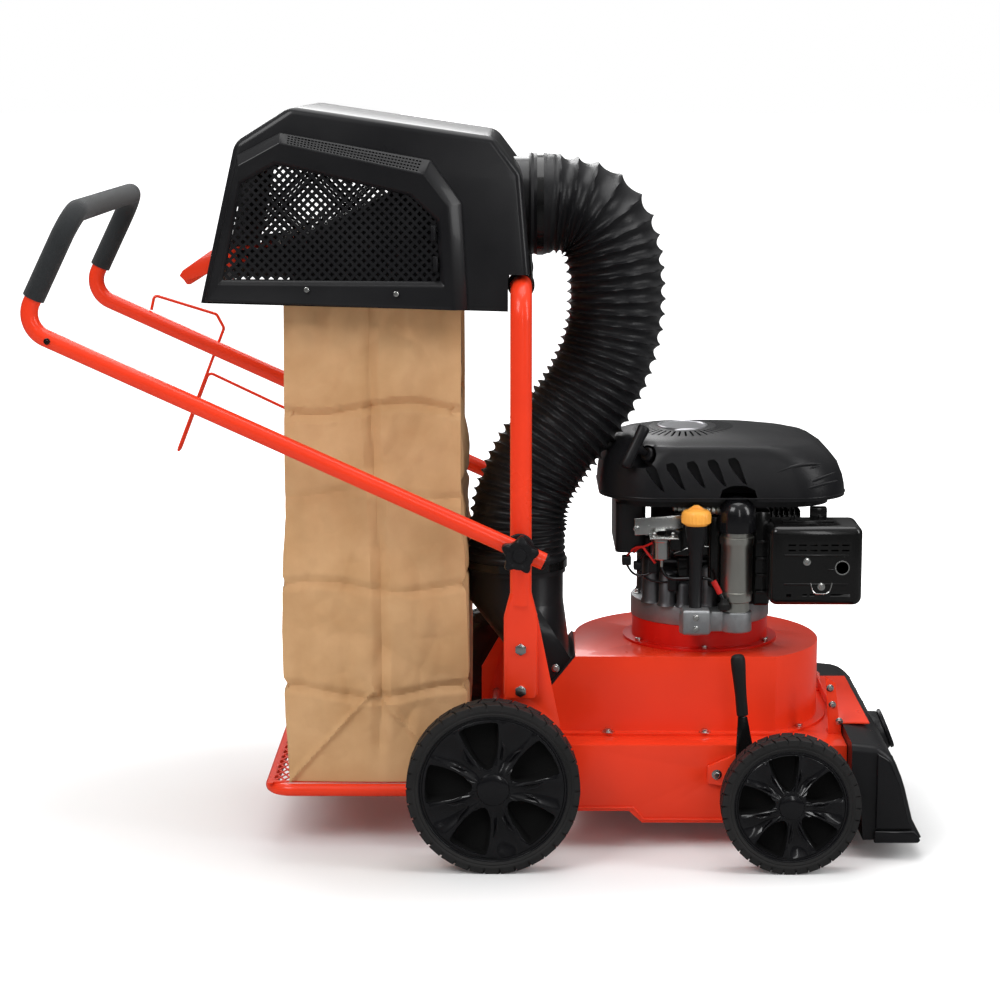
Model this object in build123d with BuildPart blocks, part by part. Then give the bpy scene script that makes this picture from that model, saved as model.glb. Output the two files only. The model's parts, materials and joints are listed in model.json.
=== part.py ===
from build123d import *
import math
import os

# Walk-behind leaf vacuum with a bag hood.  Millimetres, +X forward, +Y to the machine's left, +Z up.
# The origin lies on the ground under the middle of the machine.

# ---------------------------------------------------------------- running gear
HALF_TRACK = 350.0          # outer faces of the tyres
TYRE_WIDTH = 44.0
REAR_RADIUS = 127.0
FRONT_RADIUS = 101.6
REAR_RIM_RADIUS = 111.0
FRONT_RIM_RADIUS = 85.5
RIM_WALL = 6.0
HUB_RADIUS = 22.0
SPOKE_COUNT = 5
SPOKE_WIDTH = 26.0
AXLE_RADIUS = 6.35
RUNNING_GAP = 0.05          # radial, shaft in its bore
REAR_AXLE_X = 27.0
FRONT_AXLE_X = 461.0
AXLE_END_Y = 346.0
CAP_THICKNESS = 2.5
HUB_OVERLAP = 4.0

# ---------------------------------------------------------------- chassis
SHEET = 3.0
DECK_REAR_X = 125.0
DECK_FRONT_X = 556.0
DECK_HALF_WIDTH = 220.0
DECK_TOP_Z = 160.0
DECK_BOTTOM_Z = 40.0
DECK_STEP_X = 250.0
DECK_STEP_Z = 58.0
FRAME_PLATE_Y = 250.0       # inner face of a rear side plate
FRAME_PLATE = 4.0
CLEARANCE = 0.4             # between parts that are near and move or are soft
HOLE_GAP = 0.2              # radial, bolt in its hole

# ---------------------------------------------------------------- volute and impeller
CRANK_X = 348.0
VOLUTE_RADIUS = 183.0
VOLUTE_SHIFT = 2.0          # front arc's centre, forward of the crank
VOLUTE_BACK_RADIUS = 190.0
BACK_SHIFT_X = 6.0          # rear arc's centre, back from the crank
BACK_SHIFT_Y = 8.0
VOLUTE_SIDE_Y = -150.0      # flat near side
OUTLET_FAR_Y = 25.0
VOLUTE_TOP_Z = 280.0
FLANGE = 4.0
FLANGE_LIP = 14.0
OUTLET_TOP = (150.0, 280.0)
OUTLET_TIP = (92.0, 207.0)
OUTLET_FOOT_X = 123.0
IMPELLER_RADIUS = 140.0
IMPELLER_HEIGHT = 70.0
INTAKE_RADIUS = 90.0
SHAFT_RADIUS = 12.7

# ---------------------------------------------------------------- engine
ADAPTER_RADIUS = 106.0
ADAPTER_TOP_Z = 317.0
SUMP_RADIUS = 108.0
SUMP_TOP_Z = 348.0
COVER_X0 = 187.0
COVER_X1 = 562.0
COVER_HALF_WIDTH = 150.0
COVER_BOTTOM_Z = 518.0
COVER_TOP_Z = 617.0
SHROUD_PLATE = 12.0
SKIRT_BOTTOM_Z = 430.0
CRANKCASE_RADIUS = 78.0
BLOCK_X0 = 428.0
BLOCK_X1 = 500.0
STARTER_X = 394.0
STARTER_Y = -132.0
STARTER_RADIUS = 24.0
STARTER_BOTTOM_Z = 366.0
STARTER_TOP_Z = 470.0
OIL_X = 331.0
OIL_Y = -147.0
OIL_CAP_Z = 482.0
MUFFLER_X0 = 440.0
MUFFLER_X1 = 580.0
MUFFLER_FRONT_Y = -172.0
MUFFLER_BACK_Y = -92.0
MUFFLER_Z0 = 363.0
MUFFLER_Z1 = 485.0
GUARD_WALL = 2.0

# ---------------------------------------------------------------- frame, handle
LEG_X = 67.0
LEG_Y = 261.0
LEG_RADIUS = 15.875
TUBE_WALL = 2.0
CROSSBAR_Z = 846.0
LEG_BEND = 45.0
FOOT_TOP_Z = 400.0
FOOT_BOTTOM_Z = 244.0
FOOT_WIDTH = 50.0
FOOT_THICKNESS = 14.0
PIVOT_X = 65.0
PIVOT_Z = 471.0
HANDLE_Y = 296.0
HANDLE_RADIUS = 12.7
HANDLE_STUB = 40.0
HANDLE_RUN = 785.0
HANDLE_ANGLE = 24.44        # side tubes above the horizontal
GRIP_RISE_X = 79.0
GRIP_RISE_Z = 163.0
GRIP_BEND = 38.0
CORNER_BEND = 45.0
FOAM_WALL = 3.6
KNOB_RADIUS = 27.0
KNOB_THICKNESS = 24.0
PIVOT_BOLT_RADIUS = 4.0
HANGER_RADIUS = 2.5

# ---------------------------------------------------------------- tray and bag
TRAY_TUBE_RADIUS = 9.5
TRAY_REAR_X = -311.0
TRAY_HALF_WIDTH = 206.0
TRAY_Z = 86.0
MESH_THICKNESS = 2.0
BAG_REAR_X = -285.0
BAG_FRONT_X = -18.0
BAG_HALF_WIDTH = 203.0
BAG_TOP_Z = 848.0
BAG_WALL = 2.0

# ---------------------------------------------------------------- hood
HOOD_HALF_WIDTH = 244.5
HOOD_WALL = 3.0
HOOD_REAR_LOW = (-398.0, 825.0)
HOOD_REAR_KNEE = (-345.0, 1056.0)
HOOD_TOP_REAR = (-264.0, 1107.0)
HOOD_TOP_FRONT = (28.0, 1064.0)
HOOD_FRONT_KNEE = (68.0, 1011.0)
HOOD_FRONT_LOW = (80.0, 866.0)
HOOD_SIDE_LOW = (48.0, 813.0)
BEZEL_DEPTH = 17.0
COLLAR_GAP = 10.0
INLET_Z = 956.0
HOSE_RADIUS = 75.0
HOSE_WALL = 2.0
CUFF_GAP = 0.5
CHUTE_X = 60.0
CHUTE_Y = -60.0
CHUTE_TOP_Z = 428.0
HOSE_END_Z = 396.0
LEVER_PIVOT = (-338.0, 885.0)

# ---------------------------------------------------------------- nozzle and height lever
NOZZLE_HALF_WIDTH = 270.0
NOZZLE_WALL = 4.0
PIVOT_FRONT_X = 361.0
PIVOT_FRONT_Z = 117.0
ARM_THICKNESS = 6.0
LEVER_TOP = (389.0, 301.0)
LEVER_MID = (398.0, 207.0)

os.makedirs("parts", exist_ok=True)


def save(part, label):
    part.label = label
    export_step(part, f"parts/{label}.step")


def side_plane(y):
    # A sketch plane facing -Y: local x is world X and local y is world Z.
    return Plane(origin=(0, y, 0), x_dir=(1, 0, 0), z_dir=(0, -1, 0))


def bolts(label, sets):
    # Groups of equal hex bolts: each place is the seat of a head, the direction is the shank's.
    with BuildPart() as group:
        for places, direction, head_radius, head, shank_radius, shank, nut in sets:
            for place in places:
                seat = Plane(origin=place, z_dir=direction)
                with BuildSketch(seat):
                    RegularPolygon(head_radius, 6)
                extrude(amount=-head)
                with BuildSketch(seat):
                    Circle(shank_radius)
                extrude(amount=shank)
                if nut:
                    with BuildSketch(seat.offset(shank - nut)):
                        RegularPolygon(head_radius, 6)
                    extrude(amount=nut)
    save(group.part, label)


# ================================================================ wheels
def tyre(label, side, x, radius, rim_radius):
    outer_y = side * HALF_TRACK
    with BuildPart() as ring:
        with BuildSketch(Plane(origin=(x, outer_y, radius), x_dir=(1, 0, 0), z_dir=(0, -side, 0))):
            Circle(radius)
            Circle(rim_radius, mode=Mode.SUBTRACT)
        extrude(amount=TYRE_WIDTH)
        outer_edges = ring.edges().filter_by(GeomType.CIRCLE).sort_by(SortBy.RADIUS)[-2:]
        fillet(outer_edges, 7)
    save(ring.part, label)


def rim(label, side, x, radius, rim_radius, hub_inner_y):
    face = Plane(origin=(x, side * (HALF_TRACK - 3), radius), x_dir=(1, 0, 0), z_dir=(0, -side, 0))
    depth = TYRE_WIDTH - 6
    with BuildPart() as wheel:
        with BuildSketch(face):
            Circle(rim_radius)
            Circle(rim_radius - RIM_WALL, mode=Mode.SUBTRACT)
        extrude(amount=depth)
        with BuildSketch(face.offset(4)):
            Circle(rim_radius - RIM_WALL / 2)
            Circle(rim_radius - 3 * RIM_WALL, mode=Mode.SUBTRACT)
        extrude(amount=8)
        with BuildSketch(face.offset(6)):
            spoke_start = HUB_RADIUS - HUB_OVERLAP
            spoke_end = rim_radius - RIM_WALL
            with PolarLocations((spoke_start + spoke_end) / 2, SPOKE_COUNT):
                Rectangle(spoke_end - spoke_start, SPOKE_WIDTH)
        extrude(amount=14)
        with BuildSketch(face):
            Circle(HUB_RADIUS)
        extrude(amount=HALF_TRACK - 3 - hub_inner_y)
        with BuildSketch(face):
            Circle(AXLE_RADIUS + RUNNING_GAP)
        extrude(amount=HALF_TRACK - 3 - hub_inner_y, mode=Mode.SUBTRACT)
        with BuildSketch(face):
            Circle(HUB_RADIUS - 1)
        extrude(amount=-CAP_THICKNESS)
    save(wheel.part, label)


REAR_HUB_Y = FRAME_PLATE_Y + FRAME_PLATE + FOOT_THICKNESS + 6
FRONT_HUB_Y = HALF_TRACK - TYRE_WIDTH - 10
for side_name, sign in (("right", -1), ("left", 1)):
    tyre(f"rear_tyre_{side_name}", sign, REAR_AXLE_X, REAR_RADIUS, REAR_RIM_RADIUS)
    rim(f"rear_rim_{side_name}", sign, REAR_AXLE_X, REAR_RADIUS, REAR_RIM_RADIUS, REAR_HUB_Y)
    tyre(f"front_tyre_{side_name}", sign, FRONT_AXLE_X, FRONT_RADIUS, FRONT_RIM_RADIUS)
    rim(f"front_rim_{side_name}", sign, FRONT_AXLE_X, FRONT_RADIUS, FRONT_RIM_RADIUS, FRONT_HUB_Y)

with BuildPart() as rear_axle:
    with BuildSketch(Plane(origin=(REAR_AXLE_X, AXLE_END_Y, REAR_RADIUS), z_dir=(0, -1, 0))):
        Circle(AXLE_RADIUS)
    extrude(amount=2 * AXLE_END_Y)
save(rear_axle.part, "rear_axle")

# ================================================================ chassis
FRAME_CROSS_TOP_Z = DECK_TOP_Z - 10
with BuildPart() as rear_frame:
    with BuildSketch(Plane.XY.offset(DECK_STEP_Z)):
        with Locations((DECK_REAR_X - FRAME_PLATE / 2, 0)):
            Rectangle(FRAME_PLATE, 2 * FRAME_PLATE_Y)
    extrude(amount=FRAME_CROSS_TOP_Z - DECK_STEP_Z)
    for sign in (-1, 1):
        with BuildSketch(side_plane(sign * (FRAME_PLATE_Y + FRAME_PLATE / 2))):
            with BuildLine():
                Polyline((DECK_REAR_X, DECK_STEP_Z), (DECK_REAR_X, 200),
                         (LEG_X + FOOT_WIDTH / 2, 363), (LEG_X - FOOT_WIDTH / 2, 363),
                         (LEG_X - FOOT_WIDTH / 2, 240), (REAR_AXLE_X - 25, 170),
                         (REAR_AXLE_X - 25, 90), (REAR_AXLE_X + 13, DECK_STEP_Z), close=True)
            make_face()
            with Locations((REAR_AXLE_X, REAR_RADIUS)):
                Circle(AXLE_RADIUS + RUNNING_GAP, mode=Mode.SUBTRACT)
            with Locations((LEG_X, 318), (LEG_X, 255)):
                Circle(5 + HOLE_GAP, mode=Mode.SUBTRACT)
        extrude(amount=FRAME_PLATE / 2, both=True)
save(rear_frame.part, "rear_frame")

FLANGE_BOLT = 3.5
FLANGE_BOLT_LINE = 8.0      # outside the volute's wall


def lip_place(centre_x, centre_y, radius, angle):
    reach = radius + FLANGE_BOLT_LINE
    return (centre_x + reach * math.cos(math.radians(angle)), centre_y + reach * math.sin(math.radians(angle)))


FLANGE_BOLTS = [(200, VOLUTE_SIDE_Y - FLANGE_BOLT_LINE), (347, VOLUTE_SIDE_Y - FLANGE_BOLT_LINE),
                lip_place(CRANK_X + VOLUTE_SHIFT, 0, VOLUTE_RADIUS, -41),
                lip_place(CRANK_X + VOLUTE_SHIFT, 0, VOLUTE_RADIUS, 20),
                lip_place(CRANK_X - BACK_SHIFT_X, BACK_SHIFT_Y, VOLUTE_BACK_RADIUS, 95),
                lip_place(CRANK_X - BACK_SHIFT_X, BACK_SHIFT_Y, VOLUTE_BACK_RADIUS, 145)]
ADAPTER_BOLT_CIRCLE = ADAPTER_RADIUS + 7.5
ADAPTER_BOLT = 2.5
ADAPTER_BOLTS = [(CRANK_X + ADAPTER_BOLT_CIRCLE * math.cos(math.radians(a)),
                  ADAPTER_BOLT_CIRCLE * math.sin(math.radians(a))) for a in range(30, 390, 60)]
with BuildPart() as deck_housing:
    with BuildSketch(side_plane(0)):
        with BuildLine():
            Polyline((DECK_REAR_X, DECK_STEP_Z), (DECK_STEP_X - 20, DECK_STEP_Z),
                     (DECK_STEP_X, DECK_BOTTOM_Z), (DECK_FRONT_X, DECK_BOTTOM_Z),
                     (DECK_FRONT_X, DECK_TOP_Z), (DECK_REAR_X, DECK_TOP_Z), close=True)
        make_face()
    extrude(amount=DECK_HALF_WIDTH, both=True)
    with BuildSketch(side_plane(0)):
        with BuildLine():
            Polyline((DECK_REAR_X + SHEET, DECK_STEP_Z + SHEET), (DECK_STEP_X - 18, DECK_STEP_Z + SHEET),
                     (DECK_STEP_X + 2, DECK_BOTTOM_Z + SHEET), (DECK_FRONT_X, DECK_BOTTOM_Z + SHEET),
                     (DECK_FRONT_X, DECK_TOP_Z - SHEET), (DECK_REAR_X + SHEET, DECK_TOP_Z - SHEET),
                     close=True)
        make_face()
    extrude(amount=DECK_HALF_WIDTH - SHEET, both=True, mode=Mode.SUBTRACT)
    with BuildSketch(Plane.XY.offset(DECK_TOP_Z - SHEET)):
        with Locations((CRANK_X, 0)):
            Circle(INTAKE_RADIUS)
        with Locations(*FLANGE_BOLTS):
            Circle(FLANGE_BOLT + HOLE_GAP)
    extrude(amount=SHEET, mode=Mode.SUBTRACT)
    with BuildSketch(side_plane(-DECK_HALF_WIDTH)):
        with Locations((PIVOT_FRONT_X, PIVOT_FRONT_Z)):
            Circle(8 + RUNNING_GAP)
    extrude(amount=-2 * DECK_HALF_WIDTH, mode=Mode.SUBTRACT)
save(deck_housing.part, "deck_housing")


def volute_plan(grow):
    # The scroll's plan: two arcs, the outlet duct along the near side and a flat near side.
    with BuildSketch(mode=Mode.PRIVATE) as plan:
        with Locations((CRANK_X + VOLUTE_SHIFT, 0)):
            Circle(VOLUTE_RADIUS + grow)
        with Locations((CRANK_X - BACK_SHIFT_X, BACK_SHIFT_Y)):
            Circle(VOLUTE_BACK_RADIUS + grow)
        with Locations((CRANK_X, VOLUTE_SIDE_Y - grow - 200)):
            Rectangle(900, 400, mode=Mode.SUBTRACT)
    return plan.sketch


OUTLET_MID_Y = (VOLUTE_SIDE_Y + OUTLET_FAR_Y) / 2
OUTLET_WIDTH = OUTLET_FAR_Y - VOLUTE_SIDE_Y
with BuildPart() as volute_cover:
    with BuildSketch(Plane.XY.offset(DECK_TOP_Z)):
        add(volute_plan(0))
    extrude(amount=VOLUTE_TOP_Z - DECK_TOP_Z)
    with BuildSketch(side_plane(OUTLET_MID_Y)):
        with BuildLine():
            Polyline(OUTLET_TOP, OUTLET_TIP, (OUTLET_FOOT_X, DECK_TOP_Z),
                     (CRANK_X + 40, DECK_TOP_Z), (CRANK_X + 40, VOLUTE_TOP_Z), close=True)
        make_face()
    extrude(amount=OUTLET_WIDTH / 2, both=True)
    with BuildSketch(Plane.XY.offset(DECK_TOP_Z)):
        add(volute_plan(FLANGE_LIP))
        with Locations(((OUTLET_FOOT_X + CRANK_X) / 2, OUTLET_MID_Y)):
            Rectangle(CRANK_X - OUTLET_FOOT_X, OUTLET_WIDTH + 2 * FLANGE_LIP)
    extrude(amount=FLANGE)
    with BuildSketch(Plane.XY.offset(DECK_TOP_Z)):
        add(volute_plan(-SHEET))
    extrude(amount=VOLUTE_TOP_Z - DECK_TOP_Z - SHEET, mode=Mode.SUBTRACT)
    with BuildSketch(side_plane(OUTLET_MID_Y)):
        with BuildLine():
            Polyline((OUTLET_TOP[0] - 4, OUTLET_TOP[1] - SHEET), (OUTLET_TIP[0] - 10, OUTLET_TIP[1] + 2),
                     (OUTLET_TIP[0] + 1, OUTLET_TIP[1] - 2), (OUTLET_FOOT_X + SHEET, DECK_TOP_Z),
                     (CRANK_X + 40, DECK_TOP_Z), (CRANK_X + 40, VOLUTE_TOP_Z - SHEET), close=True)
        make_face()
    extrude(amount=OUTLET_WIDTH / 2 - SHEET, both=True, mode=Mode.SUBTRACT)
    with BuildSketch(Plane.XY.offset(DECK_TOP_Z)):
        with Locations((CRANK_X, 0)):
            Circle(SHAFT_RADIUS + 12)
        with Locations(*ADAPTER_BOLTS):
            Circle(ADAPTER_BOLT + HOLE_GAP)
        with Locations(*FLANGE_BOLTS):
            Circle(FLANGE_BOLT + HOLE_GAP)
    extrude(amount=VOLUTE_TOP_Z - DECK_TOP_Z, mode=Mode.SUBTRACT)
save(volute_cover.part, "volute_cover")
with BuildPart() as impeller:
    plate_z = DECK_TOP_Z + 92
    with BuildSketch(Plane.XY.offset(plate_z)):
        with Locations((CRANK_X, 0)):
            Circle(IMPELLER_RADIUS)
    extrude(amount=5)
    with BuildSketch(Plane.XY.offset(plate_z - IMPELLER_HEIGHT)):
        with Locations((CRANK_X, 0)):
            Circle(SHAFT_RADIUS + 14)
            with PolarLocations((IMPELLER_RADIUS + 20) / 2, 6):
                Rectangle(IMPELLER_RADIUS - 24, 6)
    extrude(amount=IMPELLER_HEIGHT)
    with BuildSketch(Plane.XY.offset(plate_z - IMPELLER_HEIGHT)):
        with Locations((CRANK_X, 0)):
            Circle(SHAFT_RADIUS)
    extrude(amount=IMPELLER_HEIGHT + 10, mode=Mode.SUBTRACT)
save(impeller.part, "impeller")

with BuildPart() as crankshaft:
    with BuildSketch(Plane.XY.offset(plate_z - IMPELLER_HEIGHT)):
        with Locations((CRANK_X, 0)):
            Circle(SHAFT_RADIUS)
    extrude(amount=SUMP_TOP_Z + 40 - plate_z + IMPELLER_HEIGHT)
    with BuildSketch(Plane.XY.offset(plate_z - IMPELLER_HEIGHT - 8)):
        with Locations((CRANK_X, 0)):
            RegularPolygon(14, 6)
    extrude(amount=8)
save(crankshaft.part, "crankshaft")

# ================================================================ discharge chute
slant = Vector(OUTLET_TOP[0] - OUTLET_TIP[0], 0, OUTLET_TOP[1] - OUTLET_TIP[1])
SLANT_LENGTH = slant.length
slant = slant.normalized()
slant_up = Vector(-slant.Z, 0, slant.X)
CHUTE_FLANGE = 3.0
outlet_plane = Plane(origin=((OUTLET_TOP[0] + OUTLET_TIP[0]) / 2, OUTLET_MID_Y,
                             (OUTLET_TOP[1] + OUTLET_TIP[1]) / 2), x_dir=slant, z_dir=slant_up)
CHUTE_RADIUS = HOSE_RADIUS - HOSE_WALL - CUFF_GAP
CHUTE_NECK_Z = 352.0
with BuildPart() as discharge_chute:
    with BuildSketch(outlet_plane.offset(CHUTE_FLANGE)):
        Rectangle(SLANT_LENGTH - 16, OUTLET_WIDTH - 16)
    with BuildSketch(Plane(origin=(CHUTE_X, CHUTE_Y, CHUTE_NECK_Z))):
        Circle(CHUTE_RADIUS)
    loft()
    with BuildSketch(Plane(origin=(CHUTE_X, CHUTE_Y, CHUTE_NECK_Z))):
        Circle(CHUTE_RADIUS)
    extrude(amount=CHUTE_TOP_Z - CHUTE_NECK_Z)
    with BuildSketch(outlet_plane):
        Rectangle(SLANT_LENGTH, OUTLET_WIDTH)
    extrude(amount=CHUTE_FLANGE)
    with BuildSketch(outlet_plane.offset(CHUTE_FLANGE - 0.5)):
        Rectangle(SLANT_LENGTH - 24, OUTLET_WIDTH - 24)
    with BuildSketch(Plane(origin=(CHUTE_X, CHUTE_Y, CHUTE_NECK_Z))):
        Circle(CHUTE_RADIUS - 3)
    loft(mode=Mode.SUBTRACT)
    with BuildSketch(outlet_plane):
        Rectangle(SLANT_LENGTH - 24, OUTLET_WIDTH - 24)
    extrude(amount=CHUTE_FLANGE, mode=Mode.SUBTRACT)
    with BuildSketch(Plane(origin=(CHUTE_X, CHUTE_Y, CHUTE_NECK_Z))):
        Circle(CHUTE_RADIUS - 3)
    extrude(amount=CHUTE_TOP_Z - CHUTE_NECK_Z, mode=Mode.SUBTRACT)
save(discharge_chute.part, "discharge_chute")

# ================================================================ duct hose and its clamps
HOSE_START_X = 86.0
hose_points = [(HOSE_START_X, 0, INLET_Z), (203, 0, INLET_Z), (206, -8, 760),
               (CHUTE_X, CHUTE_Y, 520), (CHUTE_X, CHUTE_Y, HOSE_END_Z)]
hose_bends = [98.0, 200.0, 200.0]
with BuildPart() as duct_hose:
    with BuildLine() as hose_path:
        FilletPolyline(*hose_points, radius=hose_bends)
    with BuildSketch(Plane(origin=hose_points[0], z_dir=(1, 0, 0))):
        Circle(HOSE_RADIUS)
        Circle(HOSE_RADIUS - HOSE_WALL, mode=Mode.SUBTRACT)
    sweep(path=hose_path.wires()[0])
save(duct_hose.part, "duct_hose")

with BuildPart() as lower_hose_clamp:
    with BuildSketch(Plane(origin=(CHUTE_X, CHUTE_Y, HOSE_END_Z + 8))):
        Circle(HOSE_RADIUS + 1.5)
        Circle(HOSE_RADIUS, mode=Mode.SUBTRACT)
    extrude(amount=12)
save(lower_hose_clamp.part, "lower_hose_clamp")

with BuildPart() as upper_hose_clamp:
    with BuildSketch(Plane(origin=(HOSE_START_X + 2, 0, INLET_Z), z_dir=(1, 0, 0))):
        Circle(HOSE_RADIUS + 1.5)
        Circle(HOSE_RADIUS, mode=Mode.SUBTRACT)
    extrude(amount=10)
save(upper_hose_clamp.part, "upper_hose_clamp")

# ================================================================ engine
with BuildPart() as engine_adapter:
    with BuildSketch(Plane.XY.offset(VOLUTE_TOP_Z)):
        with Locations((CRANK_X, 0)):
            Circle(ADAPTER_RADIUS)
            Circle(ADAPTER_RADIUS - 16, mode=Mode.SUBTRACT)
    extrude(amount=ADAPTER_TOP_Z - VOLUTE_TOP_Z)
    with BuildSketch(Plane.XY.offset(VOLUTE_TOP_Z)):
        with Locations((CRANK_X, 0)):
            Circle(ADAPTER_RADIUS + 14)
            Circle(ADAPTER_RADIUS - 16, mode=Mode.SUBTRACT)
        with Locations(*ADAPTER_BOLTS):
            Circle(ADAPTER_BOLT + HOLE_GAP, mode=Mode.SUBTRACT)
    extrude(amount=4)
save(engine_adapter.part, "engine_adapter")
ADAPTER_FLANGE = 4.0
bolts("deck_bolts", [
    ([(x, y, DECK_TOP_Z + FLANGE) for x, y in FLANGE_BOLTS], (0, 0, -1), 5.5, 5, FLANGE_BOLT,
     FLANGE + SHEET + 7, 6),
    ([(x, y, VOLUTE_TOP_Z + ADAPTER_FLANGE) for x, y in ADAPTER_BOLTS], (0, 0, -1), 5, 5, ADAPTER_BOLT,
     ADAPTER_FLANGE + SHEET + 6, 5)])

with BuildPart() as engine_sump:
    with BuildSketch(Plane.XY.offset(ADAPTER_TOP_Z)):
        with Locations((CRANK_X, 0)):
            Circle(SUMP_RADIUS)
        with Locations((STARTER_X, STARTER_Y), (OIL_X, OIL_Y)):
            Circle(STARTER_RADIUS)
        with Locations(((STARTER_X + OIL_X) / 2, OIL_Y / 2 - 24)):
            Rectangle(STARTER_X - OIL_X + 30, 90)
    extrude(amount=SUMP_TOP_Z - ADAPTER_TOP_Z)
    with BuildSketch(Plane.XY.offset(ADAPTER_TOP_Z)):
        with Locations((CRANK_X, 0)):
            Circle(SHAFT_RADIUS + RUNNING_GAP)
    extrude(amount=SUMP_TOP_Z - ADAPTER_TOP_Z, mode=Mode.SUBTRACT)
save(engine_sump.part, "engine_sump")

with BuildPart() as crankcase:
    with BuildSketch(Plane.XY.offset(SUMP_TOP_Z)):
        with Locations((CRANK_X, 0)):
            Circle(CRANKCASE_RADIUS)
        with Locations(((CRANK_X + BLOCK_X0) / 2, 0)):
            Rectangle(BLOCK_X0 - CRANK_X, 110)
    extrude(amount=COVER_BOTTOM_Z - SHROUD_PLATE - SUMP_TOP_Z)
    with BuildSketch(Plane.XY.offset(SUMP_TOP_Z)):
        with Locations((CRANK_X, 0)):
            Circle(SHAFT_RADIUS + RUNNING_GAP)
    extrude(amount=50, mode=Mode.SUBTRACT)
save(crankcase.part, "crankcase")

FIN_COUNT = 9
with BuildPart() as cylinder_block:
    with BuildSketch(Plane.XY.offset(SUMP_TOP_Z + 30)):
        with Locations(((BLOCK_X0 + BLOCK_X1) / 2, 10)):
            Rectangle(BLOCK_X1 - BLOCK_X0, 80)
    extrude(amount=100)
    for index in range(FIN_COUNT):
        fin_x = BLOCK_X0 + 3 + index * (BLOCK_X1 - BLOCK_X0 - 6) / (FIN_COUNT - 1)
        with BuildSketch(Plane.XY.offset(SUMP_TOP_Z + 20)):
            with Locations((fin_x, 10)):
                Rectangle(3, 120)
        extrude(amount=120)
save(cylinder_block.part, "cylinder_block")


def cover_plan(inset):
    with BuildSketch(mode=Mode.PRIVATE) as plan:
        with Locations(((COVER_X0 + COVER_X1) / 2, 0)):
            RectangleRounded(COVER_X1 - COVER_X0 - 2 * inset, 2 * (COVER_HALF_WIDTH - inset), 90 - inset)
    return plan.sketch


with BuildPart() as engine_shroud:
    with BuildSketch(Plane.XY.offset(COVER_BOTTOM_Z - SHROUD_PLATE)):
        add(cover_plan(24))
    extrude(amount=SHROUD_PLATE)
    with BuildSketch(Plane.XY.offset(SKIRT_BOTTOM_Z)):
        with Locations((COVER_X0 + 48, 0)):
            RectangleRounded(46, 190, 12)
    extrude(amount=COVER_BOTTOM_Z - SHROUD_PLATE - SKIRT_BOTTOM_Z)
save(engine_shroud.part, "engine_shroud")

GRIP_CENTRE = (238.0, -138.0, 600.0)
PULL = Vector(-0.5, -0.75, 0.433).normalized()
ROPE_MOUTH = Vector(262.0, -117.0, 583.0)
ROPE_RADIUS = 2.2
GRIP_HALF_THICKNESS = 9.8     # to the rope's knot, just behind the grip's face
rope_start = Vector(*GRIP_CENTRE) - PULL * GRIP_HALF_THICKNESS
rope_run = (ROPE_MOUTH - rope_start).normalized()
ROPE_LENGTH = (ROPE_MOUTH - rope_start).length
with BuildPart() as engine_cover:
    with BuildSketch(Plane.XY.offset(COVER_BOTTOM_Z)):
        add(cover_plan(0))
    with BuildSketch(Plane.XY.offset(COVER_BOTTOM_Z + 60)):
        add(cover_plan(14))
    with BuildSketch(Plane.XY.offset(COVER_TOP_Z - 4)):
        with Locations(((COVER_X0 + COVER_X1) / 2 - 30, 0)):
            RectangleRounded(COVER_X1 - COVER_X0 - 150, 2 * COVER_HALF_WIDTH - 90, 80)
    loft()
    with BuildSketch(Plane(origin=rope_start, z_dir=rope_run)):
        Circle(ROPE_RADIUS + CLEARANCE)
    extrude(amount=ROPE_LENGTH + 10, mode=Mode.SUBTRACT)
save(engine_cover.part, "engine_cover")

BADGE_X = 318.0
with BuildPart() as cover_badge:
    with BuildSketch(Plane.XY.offset(COVER_TOP_Z - 4)):
        with Locations((BADGE_X, 0)):
            Ellipse(38, 52)
    extrude(amount=4)
save(cover_badge.part, "cover_badge")

with BuildPart() as starter_motor:
    with BuildSketch(Plane.XY.offset(SUMP_TOP_Z)):
        with Locations((STARTER_X, STARTER_Y)):
            Circle(STARTER_RADIUS - 3)
    extrude(amount=STARTER_BOTTOM_Z - SUMP_TOP_Z)
    with BuildSketch(Plane.XY.offset(STARTER_BOTTOM_Z)):
        with Locations((STARTER_X, STARTER_Y)):
            Circle(STARTER_RADIUS)
    extrude(amount=STARTER_TOP_Z - STARTER_BOTTOM_Z)
save(starter_motor.part, "starter_motor")

with BuildPart() as starter_dome:
    with BuildSketch(Plane.XY.offset(STARTER_TOP_Z)):
        with Locations((STARTER_X, STARTER_Y)):
            Circle(STARTER_RADIUS + 4)
    extrude(amount=COVER_BOTTOM_Z - SHROUD_PLATE - STARTER_TOP_Z)
save(starter_dome.part, "starter_dome")

with BuildPart() as oil_filler_tube:
    with BuildSketch(Plane.XY.offset(SUMP_TOP_Z)):
        with Locations((OIL_X, OIL_Y)):
            Circle(11)
            Circle(8, mode=Mode.SUBTRACT)
    extrude(amount=OIL_CAP_Z - SUMP_TOP_Z)
save(oil_filler_tube.part, "oil_filler_tube")

with BuildPart() as oil_cap:
    with BuildSketch(Plane.XY.offset(OIL_CAP_Z + 0.2)):
        with Locations((OIL_X, OIL_Y)):
            Circle(18)
    extrude(amount=21)
    with BuildSketch(Plane.XY.offset(OIL_CAP_Z + 21)):
        with Locations((OIL_X, OIL_Y)):
            Rectangle(24, 5)
    extrude(amount=10)
    with BuildSketch(Plane.XY.offset(OIL_CAP_Z - 12)):
        with Locations((OIL_X, OIL_Y)):
            Circle(7.5)
    extrude(amount=13)
save(oil_cap.part, "oil_cap")

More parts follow.
